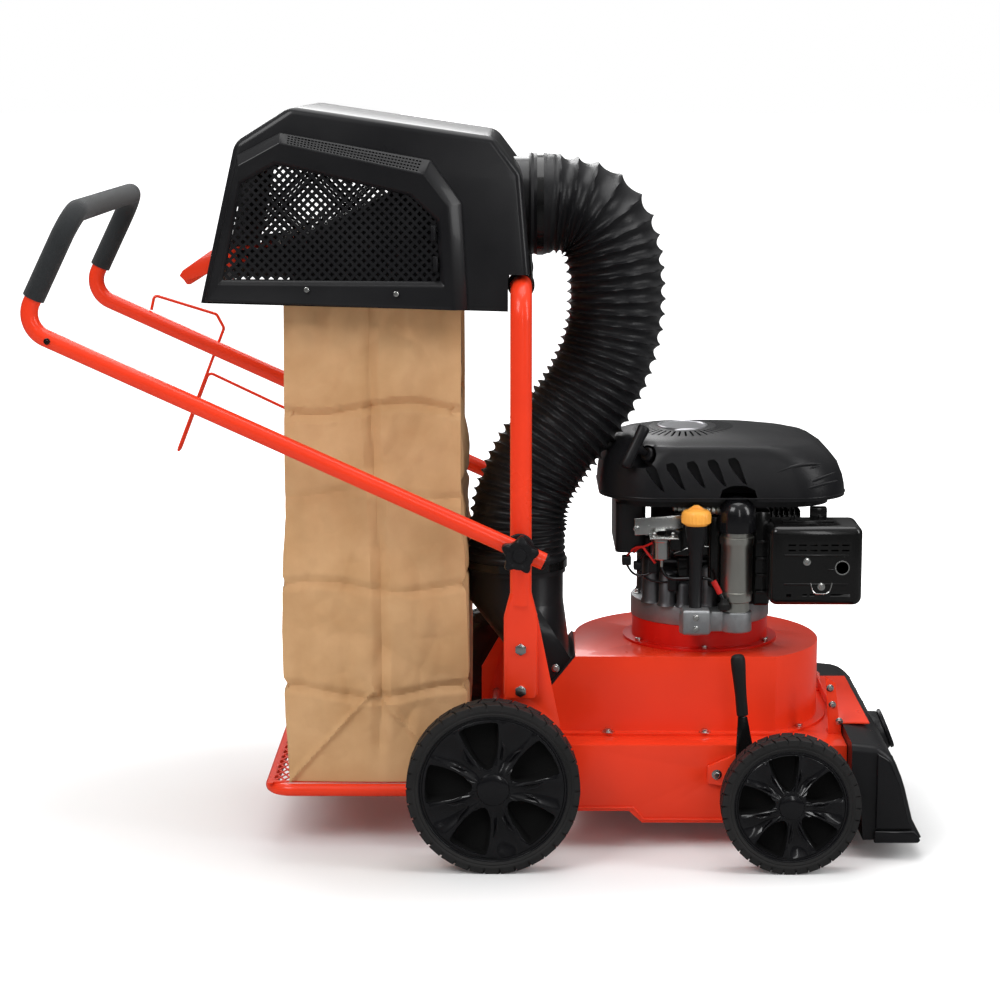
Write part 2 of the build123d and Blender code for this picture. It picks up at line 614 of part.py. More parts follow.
SOLENOID_X = 272.0
SOLENOID_Y = -112.0
BRACKET_Z = 472.0
with BuildPart() as starter_electrics:
    with BuildSketch(Plane.XY.offset(SKIRT_BOTTOM_Z + 8)):
        with Locations((SOLENOID_X, SOLENOID_Y)):
            Circle(13)
    extrude(amount=BRACKET_Z - SKIRT_BOTTOM_Z - 8.3)
    with BuildSketch(side_plane(SOLENOID_Y + 12)):
        with BuildLine():
            Polyline((SOLENOID_X - 16, BRACKET_Z), (SOLENOID_X + 40, BRACKET_Z + 5),
                     (SOLENOID_X + 40, BRACKET_Z + 20), (SOLENOID_X + 28, COVER_BOTTOM_Z - SHROUD_PLATE),
                     (SOLENOID_X - 16, COVER_BOTTOM_Z - SHROUD_PLATE), close=True)
        make_face()
    extrude(amount=2)
    with BuildSketch(Plane.XY.offset(BRACKET_Z)):
        with Locations((SOLENOID_X, SOLENOID_Y - 1)):
            Rectangle(40, 26)
    extrude(amount=2.5)
    with BuildSketch(Plane.XY.offset(SKIRT_BOTTOM_Z - 14)):
        with Locations((228, -80), (246, -70)):
            Rectangle(15, 22)
    extrude(amount=13.5)
save(starter_electrics.part, "starter_electrics")

with BuildPart() as muffler:
    with BuildSketch(side_plane(MUFFLER_BACK_Y - 6)):
        with Locations(((MUFFLER_X0 + MUFFLER_X1) / 2, (MUFFLER_Z0 + MUFFLER_Z1) / 2)):
            RectangleRounded(110, 96, 20)
    extrude(amount=60)
    with BuildSketch(side_plane(-50)):
        with Locations((BLOCK_X1 - 20, SUMP_TOP_Z + 80)):
            Circle(14)
    extrude(amount=-MUFFLER_BACK_Y + 6 - 50)
    with BuildSketch(side_plane(MUFFLER_BACK_Y - 60)):
        with Locations((497, 433), (519, 392)):
            Circle(8)
    extrude(amount=MUFFLER_BACK_Y - 60 - MUFFLER_FRONT_Y - GUARD_WALL)
save(muffler.part, "muffler")

with BuildPart() as muffler_guard:
    with BuildSketch(side_plane(MUFFLER_BACK_Y)):
        with Locations(((MUFFLER_X0 + MUFFLER_X1) / 2, (MUFFLER_Z0 + MUFFLER_Z1) / 2)):
            RectangleRounded(MUFFLER_X1 - MUFFLER_X0, MUFFLER_Z1 - MUFFLER_Z0, 12)
    extrude(amount=MUFFLER_BACK_Y - MUFFLER_FRONT_Y)
    with BuildSketch(side_plane(MUFFLER_BACK_Y)):
        with Locations(((MUFFLER_X0 + MUFFLER_X1) / 2, (MUFFLER_Z0 + MUFFLER_Z1) / 2)):
            RectangleRounded(MUFFLER_X1 - MUFFLER_X0 - 2 * GUARD_WALL,
                             MUFFLER_Z1 - MUFFLER_Z0 - 2 * GUARD_WALL, 10)
    extrude(amount=MUFFLER_BACK_Y - MUFFLER_FRONT_Y - GUARD_WALL, mode=Mode.SUBTRACT)
    with BuildSketch(side_plane(MUFFLER_FRONT_Y)):
        with Locations((549, 422)):
            Circle(10)
        with Locations((475, 378), (494, 378), (535, 378)):
            SlotOverall(14, 5)
    extrude(amount=-GUARD_WALL, mode=Mode.SUBTRACT)
save(muffler_guard.part, "muffler_guard")

with BuildPart() as starter_grip:
    with BuildSketch(Plane(origin=GRIP_CENTRE, x_dir=(0.28, 0, 0.96), z_dir=PULL)):
        SlotOverall(70, 20)
    extrude(amount=9, both=True)
save(starter_grip.part, "starter_grip")

with BuildPart() as starter_rope:
    with BuildSketch(Plane(origin=rope_start, z_dir=rope_run)):
        Circle(ROPE_RADIUS)
    extrude(amount=ROPE_LENGTH)
save(starter_rope.part, "starter_rope")

# ================================================================ frame hoop
with BuildPart() as frame_hoop:
    with BuildLine() as hoop_path:
        FilletPolyline((LEG_X, -LEG_Y, FOOT_TOP_Z - 20), (LEG_X, -LEG_Y, CROSSBAR_Z),
                       (LEG_X, LEG_Y, CROSSBAR_Z), (LEG_X, LEG_Y, FOOT_TOP_Z - 20), radius=LEG_BEND)
    with BuildSketch(Plane(origin=(LEG_X, -LEG_Y, FOOT_TOP_Z - 20), z_dir=(0, 0, 1))):
        Circle(LEG_RADIUS)
        Circle(LEG_RADIUS - TUBE_WALL, mode=Mode.SUBTRACT)
    sweep(path=hoop_path.wires()[0])
    for sign in (-1, 1):
        with BuildSketch(side_plane(sign * (FRAME_PLATE_Y + FRAME_PLATE + FOOT_THICKNESS / 2))):
            with BuildLine():
                Polyline((LEG_X - LEG_RADIUS, FOOT_TOP_Z), (LEG_X + LEG_RADIUS, FOOT_TOP_Z),
                         (LEG_X + FOOT_WIDTH / 2, 363), (LEG_X + FOOT_WIDTH / 2, FOOT_BOTTOM_Z + 6),
                         (LEG_X + FOOT_WIDTH / 2 - 8, FOOT_BOTTOM_Z),
                         (LEG_X - FOOT_WIDTH / 2 + 8, FOOT_BOTTOM_Z),
                         (LEG_X - FOOT_WIDTH / 2, FOOT_BOTTOM_Z + 6), (LEG_X - FOOT_WIDTH / 2, 363),
                         close=True)
            make_face()
            with Locations((LEG_X, 318), (LEG_X, 255)):
                Circle(5 + HOLE_GAP, mode=Mode.SUBTRACT)
        extrude(amount=FOOT_THICKNESS / 2, both=True)
        with BuildSketch(side_plane(sign * LEG_Y)):
            with Locations((PIVOT_X, PIVOT_Z)):
                Circle(PIVOT_BOLT_RADIUS + HOLE_GAP)
        extrude(amount=40, both=True, mode=Mode.SUBTRACT)
save(frame_hoop.part, "frame_hoop")

SADDLE_INNER_Y = LEG_Y + LEG_RADIUS + 0.3
SADDLE_OUTER_Y = HANDLE_Y - HANDLE_RADIUS - 0.3
KNOB_INNER_Y = HANDLE_Y + HANDLE_RADIUS + CLEARANCE
with BuildPart() as knob_saddles:
    for sign in (-1, 1):
        with BuildSketch(Plane(origin=(PIVOT_X, sign * SADDLE_INNER_Y, PIVOT_Z), z_dir=(0, sign, 0))):
            Circle(22)
            Circle(PIVOT_BOLT_RADIUS + RUNNING_GAP, mode=Mode.SUBTRACT)
        extrude(amount=SADDLE_OUTER_Y - SADDLE_INNER_Y)
save(knob_saddles.part, "knob_saddles")

FOOT_OUTER_Y = FRAME_PLATE_Y + FRAME_PLATE + FOOT_THICKNESS
PIVOT_HEAD_Y = LEG_Y - LEG_RADIUS - 0.3
bolts("hoop_bolts",
      [([(LEG_X, sign * FOOT_OUTER_Y, 318), (LEG_X, sign * FOOT_OUTER_Y, 255)], (0, -sign, 0),
        9, 4, 5, FRAME_PLATE + FOOT_THICKNESS + 7, 7) for sign in (-1, 1)]
      + [([(PIVOT_X, sign * PIVOT_HEAD_Y, PIVOT_Z)], (0, sign, 0), 9, 4, PIVOT_BOLT_RADIUS,
          KNOB_INNER_Y + KNOB_THICKNESS - 6 - PIVOT_HEAD_Y, 0) for sign in (-1, 1)])

for sign, group in ((-1, "right"), (1, "left")):
    with BuildPart() as star_knob:
        with BuildSketch(Plane(origin=(PIVOT_X, sign * (KNOB_INNER_Y + 2), PIVOT_Z), z_dir=(0, sign, 0))):
            Circle(KNOB_RADIUS * 0.72)
            with PolarLocations(KNOB_RADIUS * 0.7, 5):
                Circle(KNOB_RADIUS * 0.3)
        extrude(amount=KNOB_THICKNESS - 2)
        with BuildSketch(Plane(origin=(PIVOT_X, sign * KNOB_INNER_Y, PIVOT_Z), z_dir=(0, sign, 0))):
            Circle(12)
        extrude(amount=3)
        with BuildSketch(Plane(origin=(PIVOT_X, sign * KNOB_INNER_Y, PIVOT_Z), z_dir=(0, sign, 0))):
            Circle(PIVOT_BOLT_RADIUS + RUNNING_GAP)
        extrude(amount=KNOB_THICKNESS - 5, mode=Mode.SUBTRACT)
    save(star_knob.part, f"star_knob_{group}")

# ================================================================ handle
run = Vector(-math.cos(math.radians(HANDLE_ANGLE)), 0, math.sin(math.radians(HANDLE_ANGLE)))
stub_x = PIVOT_X - run.X * HANDLE_STUB
stub_z = PIVOT_Z - run.Z * HANDLE_STUB
elbow_x = PIVOT_X + run.X * HANDLE_RUN
elbow_z = PIVOT_Z + run.Z * HANDLE_RUN
grip_x = elbow_x + GRIP_RISE_X
grip_z = elbow_z + GRIP_RISE_Z
with BuildPart() as handle_tube:
    with BuildLine() as handle_path:
        FilletPolyline((stub_x, -HANDLE_Y, stub_z), (elbow_x, -HANDLE_Y, elbow_z),
                       (grip_x, -HANDLE_Y, grip_z), (grip_x, HANDLE_Y, grip_z),
                       (elbow_x, HANDLE_Y, elbow_z), (stub_x, HANDLE_Y, stub_z),
                       radius=[GRIP_BEND, CORNER_BEND, CORNER_BEND, GRIP_BEND])
    with BuildSketch(Plane(origin=(stub_x, -HANDLE_Y, stub_z), z_dir=run)):
        Circle(HANDLE_RADIUS)
        Circle(HANDLE_RADIUS - TUBE_WALL, mode=Mode.SUBTRACT)
    sweep(path=handle_path.wires()[0])
    with BuildSketch(side_plane(0)):
        with Locations((PIVOT_X, PIVOT_Z)):
            Circle(PIVOT_BOLT_RADIUS + RUNNING_GAP)
    extrude(amount=HANDLE_Y + 20, both=True, mode=Mode.SUBTRACT)
save(handle_tube.part, "handle_tube")

rise = Vector(GRIP_RISE_X, 0, GRIP_RISE_Z).normalized()
FOAM_START = 45.0
foam_x = elbow_x + rise.X * FOAM_START
foam_z = elbow_z + rise.Z * FOAM_START
with BuildPart() as foam_grip:
    with BuildLine() as foam_path:
        FilletPolyline((foam_x, -HANDLE_Y, foam_z), (grip_x, -HANDLE_Y, grip_z),
                       (grip_x, HANDLE_Y, grip_z), (foam_x, HANDLE_Y, foam_z), radius=CORNER_BEND)
    with BuildSketch(Plane(origin=(foam_x, -HANDLE_Y, foam_z), z_dir=rise)):
        Circle(HANDLE_RADIUS + FOAM_WALL)
        Circle(HANDLE_RADIUS + 0.3, mode=Mode.SUBTRACT)
    sweep(path=foam_path.wires()[0])
save(foam_grip.part, "foam_grip")


def on_handle(distance, drop):
    # A point beside a side tube: distance from the pivot along it, drop square to it, positive up.
    return (PIVOT_X + run.X * distance + run.Z * drop, PIVOT_Z + run.Z * distance - run.X * drop)


foot_in = on_handle(678, HANDLE_RADIUS + 1.5)
foot_out = on_handle(318, -HANDLE_RADIUS - HANGER_RADIUS - 0.4)
foot_turn = on_handle(345, -HANDLE_RADIUS - HANGER_RADIUS - 2)
hanger_y = HANDLE_Y + HANDLE_RADIUS + HANGER_RADIUS + 0.5
outer_hanger_y = HALF_TRACK - HANGER_RADIUS - 1.5
with BuildPart() as hose_hanger:
    with BuildLine() as hanger_path:
        FilletPolyline((foot_in[0], HANDLE_Y, foot_in[1]), (-541, HANDLE_Y + 2, 789),
                       (-440, hanger_y, 756), (-428, hanger_y, 733), (-450, hanger_y, 677),
                       (-509, hanger_y, 526), (-509, outer_hanger_y, 526),
                       (-459, outer_hanger_y, 655), (-300, outer_hanger_y, 579),
                       (foot_turn[0], hanger_y + 6, foot_turn[1]),
                       (foot_out[0], HANDLE_Y, foot_out[1]), radius=[6, 8, 8, 12, 9, 9, 8, 14, 8])
    first = Vector(*hanger_path.edges()[0] @ 0)
    with BuildSketch(Plane(origin=first, z_dir=hanger_path.edges()[0] % 0)):
        Circle(HANGER_RADIUS)
    sweep(path=hanger_path.wires()[0])
save(hose_hanger.part, "hose_hanger")

# ================================================================ tray and bag
with BuildPart() as bag_tray_frame:
    with BuildLine() as tray_path:
        FilletPolyline((DECK_REAR_X - FRAME_PLATE, -TRAY_HALF_WIDTH, TRAY_Z),
                       (TRAY_REAR_X, -TRAY_HALF_WIDTH, TRAY_Z), (TRAY_REAR_X, TRAY_HALF_WIDTH, TRAY_Z),
                       (DECK_REAR_X - FRAME_PLATE, TRAY_HALF_WIDTH, TRAY_Z), radius=34)
    with BuildSketch(Plane(origin=(DECK_REAR_X - FRAME_PLATE, -TRAY_HALF_WIDTH, TRAY_Z), z_dir=(-1, 0, 0))):
        Circle(TRAY_TUBE_RADIUS)
        Circle(TRAY_TUBE_RADIUS - TUBE_WALL, mode=Mode.SUBTRACT)
    sweep(path=tray_path.wires()[0])
save(bag_tray_frame.part, "bag_tray_frame")

MESH_Z = TRAY_Z + TRAY_TUBE_RADIUS
MESH_FRONT_X = 8.0
MESH_PITCH_X = 40.0
MESH_PITCH_Y = 48.0
with BuildPart() as bag_tray_mesh:
    with BuildSketch(Plane.XY.offset(MESH_Z)):
        mesh_length = MESH_FRONT_X - TRAY_REAR_X + 4
        with Locations(((MESH_FRONT_X + TRAY_REAR_X - 4) / 2, 0)):
            Rectangle(mesh_length, 2 * TRAY_HALF_WIDTH + 6)
            with GridLocations(MESH_PITCH_X, MESH_PITCH_Y, int((mesh_length - 20) / MESH_PITCH_X),
                               int(2 * TRAY_HALF_WIDTH / MESH_PITCH_Y)):
                Rectangle(MESH_PITCH_X - 8, MESH_PITCH_Y - 8, mode=Mode.SUBTRACT)
    extrude(amount=MESH_THICKNESS)
save(bag_tray_mesh.part, "bag_tray_mesh")

BAG_FLOOR_Z = MESH_Z + MESH_THICKNESS + CLEARANCE
BAG_LENGTH = BAG_FRONT_X - BAG_REAR_X
BAG_MID_X = (BAG_FRONT_X + BAG_REAR_X) / 2
with BuildPart() as paper_bag:
    with BuildSketch(Plane.XY.offset(BAG_FLOOR_Z)):
        with Locations((BAG_MID_X, 0)):
            Rectangle(BAG_LENGTH, 2 * BAG_HALF_WIDTH)
    extrude(amount=BAG_TOP_Z - BAG_FLOOR_Z)
    with BuildSketch(Plane.XY.offset(BAG_FLOOR_Z + BAG_WALL)):
        with Locations((BAG_MID_X, 0)):
            Rectangle(BAG_LENGTH - 2 * BAG_WALL, 2 * (BAG_HALF_WIDTH - BAG_WALL))
    extrude(amount=BAG_TOP_Z - BAG_FLOOR_Z - BAG_WALL, mode=Mode.SUBTRACT)
save(paper_bag.part, "paper_bag")

# ================================================================ hood
drop = 60.0
rear_slope = (HOOD_REAR_KNEE[0] - HOOD_REAR_LOW[0]) / (HOOD_REAR_KNEE[1] - HOOD_REAR_LOW[1])
BEZEL = [(-391, 830), (-340, 1037), (-278, 1068), (-66, 1030), (-22, 970), (-11, 817)]
WINDOW = [(-364, 860), (-333, 1000), (-284, 1024), (-95, 982), (-56, 944), (-50, 860)]
SCREWS = [(-242, 846), (-113, 840)]
SLOT_HALF = 22.0
with BuildPart() as hood_shell:
    with BuildSketch(side_plane(0)) as hood_profile:
        with BuildLine():
            Polyline((HOOD_REAR_LOW[0] - rear_slope * drop, HOOD_REAR_LOW[1] - drop), HOOD_REAR_KNEE,
                     HOOD_TOP_REAR, HOOD_TOP_FRONT, HOOD_FRONT_KNEE, HOOD_FRONT_LOW,
                     (HOOD_FRONT_LOW[0], HOOD_REAR_LOW[1] - drop), close=True)
        make_face()
    extrude(amount=HOOD_HALF_WIDTH, both=True)
    with BuildSketch(side_plane(0)):
        add(hood_profile.sketch)
        offset(amount=-HOOD_WALL, kind=Kind.INTERSECTION, mode=Mode.REPLACE)
    extrude(amount=HOOD_HALF_WIDTH - HOOD_WALL, both=True, mode=Mode.SUBTRACT)
    with BuildSketch(side_plane(0)):
        with BuildLine():
            Polyline((HOOD_REAR_LOW[0] - 40, HOOD_REAR_LOW[1] - 2 * drop), (HOOD_REAR_LOW[0] - 40, 826),
                     HOOD_REAR_LOW, HOOD_SIDE_LOW, (HOOD_SIDE_LOW[0], HOOD_FRONT_LOW[1]),
                     (HOOD_FRONT_LOW[0] + 40, HOOD_FRONT_LOW[1]),
                     (HOOD_FRONT_LOW[0] + 40, HOOD_REAR_LOW[1] - 2 * drop), close=True)
        make_face()
    extrude(amount=HOOD_HALF_WIDTH + 10, both=True, mode=Mode.SUBTRACT)
    with BuildSketch(side_plane(0)):
        with BuildLine():
            Polyline(*WINDOW, close=True)
        make_face()
    extrude(amount=HOOD_HALF_WIDTH + 10, both=True, mode=Mode.SUBTRACT)
    with BuildSketch(side_plane(0)):
        with Locations(*SCREWS):
            Circle(2.5 + HOLE_GAP)
    extrude(amount=HOOD_HALF_WIDTH + 10, both=True, mode=Mode.SUBTRACT)
    with BuildSketch(Plane(origin=(HOOD_TOP_FRONT[0] - 30, 0, INLET_Z), z_dir=(1, 0, 0))):
        Circle(CHUTE_RADIUS + CLEARANCE)
    extrude(amount=100, mode=Mode.SUBTRACT)
    with BuildSketch(Plane(origin=(HOOD_REAR_LOW[0] - 20, 0, 898), x_dir=(0, 1, 0), z_dir=(1, 0, 0))):
        Rectangle(2 * SLOT_HALF, 124)
    extrude(amount=60, mode=Mode.SUBTRACT)
save(hood_shell.part, "hood_shell")

LATTICE_PITCH = 27.0
for sign, group in ((-1, "right"), (1, "left")):
    outer = sign * (HOOD_HALF_WIDTH + BEZEL_DEPTH)
    with BuildPart() as window:
        with BuildSketch(side_plane(sign * (HOOD_HALF_WIDTH + BEZEL_DEPTH / 2))) as bezel_face:
            with BuildLine():
                Polyline(*BEZEL, close=True)
            make_face()
        extrude(amount=BEZEL_DEPTH / 2, both=True)
        with BuildSketch(side_plane(sign * (HOOD_HALF_WIDTH + BEZEL_DEPTH / 2 - HOOD_WALL))):
            add(bezel_face.sketch)
            offset(amount=-HOOD_WALL, kind=Kind.INTERSECTION, mode=Mode.REPLACE)
        extrude(amount=BEZEL_DEPTH / 2, both=True, mode=Mode.SUBTRACT)
        with BuildSketch(side_plane(outer)):
            with BuildLine():
                Polyline(*WINDOW, close=True)
            make_face()
            with BuildSketch(side_plane(outer), mode=Mode.PRIVATE) as diamonds:
                with Locations((-210, 940)):
                    with GridLocations(LATTICE_PITCH, LATTICE_PITCH, 13, 8):
                        Rectangle(16, 16, rotation=45)
                    with GridLocations(LATTICE_PITCH, LATTICE_PITCH, 12, 7):
                        Rectangle(16, 16, rotation=45)
            add(diamonds.sketch, mode=Mode.INTERSECT)
        extrude(amount=2 * HOOD_WALL, both=True, mode=Mode.SUBTRACT)
        for screw in SCREWS:
            with BuildSketch(side_plane(sign * HOOD_HALF_WIDTH)):
                with Locations(screw):
                    Circle(7)
            extrude(amount=-sign * BEZEL_DEPTH)
            with BuildSketch(side_plane(sign * HOOD_HALF_WIDTH)):
                with Locations(screw):
                    Circle(2.5 + HOLE_GAP)
            extrude(amount=-sign * BEZEL_DEPTH, mode=Mode.SUBTRACT)
    save(window.part, f"hood_window_{group}")

with BuildPart() as hood_screws:
    for sign in (-1, 1):
        for screw in SCREWS:
            seat = Plane(origin=(screw[0], sign * (HOOD_HALF_WIDTH + BEZEL_DEPTH), screw[1]),
                         z_dir=(0, -sign, 0))
            with BuildSketch(seat):
                Circle(4)
            extrude(amount=-2)
            with BuildSketch(seat):
                Circle(2.5)
            extrude(amount=BEZEL_DEPTH + HOOD_WALL + 4)
save(hood_screws.part, "hood_screws")

HINGE_Y = 170.0
with BuildPart() as hood_hinges:
    for sign in (-1, 1):
        with BuildSketch(side_plane(sign * HINGE_Y)):
            with Locations((LEG_X, CROSSBAR_Z)):
                Circle(LEG_RADIUS + 4)
            with BuildLine():
                Polyline((HOOD_FRONT_LOW[0], CROSSBAR_Z), (HOOD_FRONT_LOW[0] + 5, CROSSBAR_Z),
                         (HOOD_FRONT_LOW[0] + 3, CROSSBAR_Z + 46),
                         (HOOD_FRONT_LOW[0] - 2, CROSSBAR_Z + 46), close=True)
            make_face()
            with Locations((LEG_X, CROSSBAR_Z)):
                Circle(LEG_RADIUS + RUNNING_GAP, mode=Mode.SUBTRACT)
        extrude(amount=17, both=True)
    with BuildSketch(side_plane(0)):
        add(hood_profile.sketch)
    extrude(amount=HOOD_HALF_WIDTH, both=True, mode=Mode.SUBTRACT)
    for sign in (-1, 1):
        with BuildSketch(side_plane(sign * HINGE_Y)):
            with Locations((LEG_X, CROSSBAR_Z)):
                Circle(LEG_RADIUS + 4)
                Circle(LEG_RADIUS + RUNNING_GAP, mode=Mode.SUBTRACT)
        extrude(amount=17, both=True)
save(hood_hinges.part, "hood_hinges")

COLLAR_X0 = BAG_REAR_X + BAG_WALL + COLLAR_GAP
COLLAR_X1 = BAG_FRONT_X - BAG_WALL - COLLAR_GAP
COLLAR_HALF = BAG_HALF_WIDTH - BAG_WALL - COLLAR_GAP
COLLAR_LOW_Z = BAG_TOP_Z - 20
DUCT_LOW_Z = 880.0
with BuildPart() as hood_duct:
    with BuildSketch(side_plane(0)) as duct_profile:
        with BuildLine():
            Polyline((COLLAR_X0, COLLAR_LOW_Z - 40), (COLLAR_X0, 905), (6, 1036), (36, 1036),
                     (60, 1006), (62, DUCT_LOW_Z), (COLLAR_X1, DUCT_LOW_Z), (COLLAR_X1, COLLAR_LOW_Z - 40), close=True)
        make_face()
    extrude(amount=COLLAR_HALF, both=True)
    with BuildSketch(side_plane(0)):
        add(duct_profile.sketch)
        offset(amount=-2, kind=Kind.INTERSECTION, mode=Mode.REPLACE)
    extrude(amount=COLLAR_HALF - 2, both=True, mode=Mode.SUBTRACT)
    with BuildSketch(Plane.XY.offset(COLLAR_LOW_Z - 50)):
        with Locations((BAG_MID_X, 0)):
            Rectangle(BAG_LENGTH, 2 * BAG_HALF_WIDTH)
    extrude(amount=50, mode=Mode.SUBTRACT)
    with BuildSketch(Plane(origin=(20, 0, INLET_Z), z_dir=(1, 0, 0))):
        Circle(CHUTE_RADIUS)
    extrude(amount=50, mode=Mode.SUBTRACT)
    for sign in (-1, 1):
        with BuildSketch(side_plane(sign * (COLLAR_HALF - 8))):
            with BuildLine():
                Polyline((COLLAR_X0 + 1, 905), (COLLAR_X0 + 1, 862), (LEVER_PIVOT[0] - 12, 873),
                         (LEVER_PIVOT[0] - 12, 897), close=True)
            make_face()
            with Locations(LEVER_PIVOT):
                Circle(5 + RUNNING_GAP, mode=Mode.SUBTRACT)
        extrude(amount=2, both=True)
save(hood_duct.part, "hood_duct")

with BuildPart() as inlet_collar:
    with BuildSketch(Plane(origin=(48, 0, INLET_Z), z_dir=(1, 0, 0))):
        Circle(CHUTE_RADIUS - CUFF_GAP)
        Circle(CHUTE_RADIUS - 3, mode=Mode.SUBTRACT)
    extrude(amount=58)
save(inlet_collar.part, "inlet_collar")

with BuildPart() as bag_clamp_lever:
    with BuildSketch(side_plane(0)):
        with BuildLine():
            Polyline((LEVER_PIVOT[0] + 10, LEVER_PIVOT[1] + 9), (LEVER_PIVOT[0] + 10, LEVER_PIVOT[1] - 9),
                     (-450, 838), (-458, 846), (-453, 854), (-410, 884), close=True)
        make_face()
    extrude(amount=11, both=True)
    with BuildSketch(side_plane(0)):
        with Locations(LEVER_PIVOT):
            Circle(5)
    extrude(amount=COLLAR_HALF - 2, both=True)
save(bag_clamp_lever.part, "bag_clamp_lever")

# ================================================================ nozzle
NOZZLE = [(DECK_FRONT_X + 1, 176), (598, 172), (620, 154), (636, 114), (650, 58), (664, 31),
          (574, 29), (572, 68), (DECK_FRONT_X + 1, 68)]
PORT_RADIUS = 26.0
port_plane = Plane(origin=(642, 0, 129), x_dir=(0, 1, 0), z_dir=(0.93, 0, 0.37))
with BuildPart() as nozzle:
    with BuildSketch(side_plane(0)) as nozzle_profile:
        with BuildLine():
            Polyline(*NOZZLE, close=True)
        make_face()
    extrude(amount=NOZZLE_HALF_WIDTH, both=True)
    with BuildSketch(side_plane(0)):
        add(nozzle_profile.sketch)
        offset(amount=-NOZZLE_WALL, kind=Kind.INTERSECTION, mode=Mode.REPLACE)
    extrude(amount=NOZZLE_HALF_WIDTH - NOZZLE_WALL, both=True, mode=Mode.SUBTRACT)
    with BuildSketch(Plane.XY.offset(20)):
        with Locations((621, 0)):
            Rectangle(82, 2 * (NOZZLE_HALF_WIDTH - NOZZLE_WALL))
    extrude(amount=20, mode=Mode.SUBTRACT)
    with BuildSketch(Plane(origin=(DECK_FRONT_X - 5, 0, 113), z_dir=(1, 0, 0))):
        Rectangle(2 * (DECK_HALF_WIDTH - 10), 80)
    extrude(amount=20, mode=Mode.SUBTRACT)
    with BuildSketch(port_plane):
        Circle(PORT_RADIUS + NOZZLE_WALL)
    extrude(amount=-24)
    with BuildSketch(port_plane):
        Circle(PORT_RADIUS)
    extrude(amount=-40, mode=Mode.SUBTRACT)
save(nozzle.part, "nozzle")

with BuildPart() as port_cap:
    with BuildSketch(port_plane):
        Circle(PORT_RADIUS - 0.5)
    extrude(amount=-3)
    with BuildSketch(port_plane):
        Circle(PORT_RADIUS + NOZZLE_WALL + 2)
    extrude(amount=6)
save(port_cap.part, "port_cap")

with BuildPart() as nozzle_bracket:
    for y in (-150.0, 150.0):
        with BuildSketch(side_plane(y)):
            with BuildLine():
                Polyline((DECK_FRONT_X - 4, DECK_TOP_Z), (DECK_FRONT_X - 4, 178), (545, 240), (530, 250),
                         (536, DECK_TOP_Z + 6), (536, DECK_TOP_Z), close=True)
            make_face()
        extrude(amount=2, both=True)
    with BuildSketch(Plane.XY.offset(DECK_TOP_Z)):
        with Locations((546, -137), (546, 137)):
            Rectangle(20, 30)
    extrude(amount=2)
    with BuildSketch(Plane.XY.offset(DECK_TOP_Z + 16.2)):
        with Locations((575, 0)):
            Rectangle(46, 304)
    extrude(amount=2)
    with BuildSketch(Plane.XY.offset(DECK_TOP_Z + 2)):
        with Locations((554, 0)):
            Rectangle(2, 304)
    extrude(amount=16)
save(nozzle_bracket.part, "nozzle_bracket")

# ================================================================ front carriage
ARM_Y = DECK_HALF_WIDTH + 1
with BuildPart() as front_carriage:
    with BuildSketch(side_plane(0)):
        with Locations((PIVOT_FRONT_X, PIVOT_FRONT_Z)):
            Circle(8)
    extrude(amount=ARM_Y + 1, both=True)
    for sign in (-1, 1):
        with BuildSketch(side_plane(sign * (ARM_Y + ARM_THICKNESS / 2))):
            with BuildLine():
                Polyline((PIVOT_FRONT_X - 14, PIVOT_FRONT_Z - 14), (PIVOT_FRONT_X - 14, PIVOT_FRONT_Z + 12),
                         (PIVOT_FRONT_X + 30, PIVOT_FRONT_Z + 32), (PIVOT_FRONT_X + 62, PIVOT_FRONT_Z + 28),
                         (FRONT_AXLE_X + 14, FRONT_RADIUS + 14), (FRONT_AXLE_X + 14, FRONT_RADIUS - 14),
                         (FRONT_AXLE_X - 14, FRONT_RADIUS - 14), close=True)
            make_face()
        extrude(amount=ARM_THICKNESS / 2, both=True)
        with BuildSketch(Plane(origin=(FRONT_AXLE_X, sign * ARM_Y, FRONT_RADIUS), z_dir=(0, sign, 0))):
            Circle(AXLE_RADIUS)
        extrude(amount=AXLE_END_Y - ARM_Y)
save(front_carriage.part, "front_carriage")

LEVER_Y = -(ARM_Y + ARM_THICKNESS)
with BuildPart() as height_lever:
    with BuildSketch(side_plane(LEVER_Y)):
        with BuildLine():
            Polyline((LEVER_MID[0] - 7, LEVER_MID[1]), (LEVER_MID[0] + 7, LEVER_MID[1]), (418, 142),
                     (400, 124), (388, 134), close=True)
        make_face()
    extrude(amount=5)
save(height_lever.part, "height_lever")

with BuildPart() as lever_grip:
    top = Vector(LEVER_TOP[0], LEVER_Y - 2.5, LEVER_TOP[1])
    low = Vector(LEVER_MID[0], LEVER_Y - 2.5, LEVER_MID[1] + 1.2)
    with BuildSketch(Plane(origin=low, z_dir=(top - low).normalized())):
        Circle(11)
    extrude(amount=(top - low).length)
    fillet(lever_grip.edges().filter_by(GeomType.CIRCLE), 5)
save(lever_grip.part, "lever_grip")
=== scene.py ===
"""Walk-behind leaf vacuum: the looks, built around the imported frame.

Shapes are written in millimetres in the frame's own axes and scaled to metres once, in new_piece().
"""
import json
import math

import bmesh
import bpy
import numpy as np
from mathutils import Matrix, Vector, noise


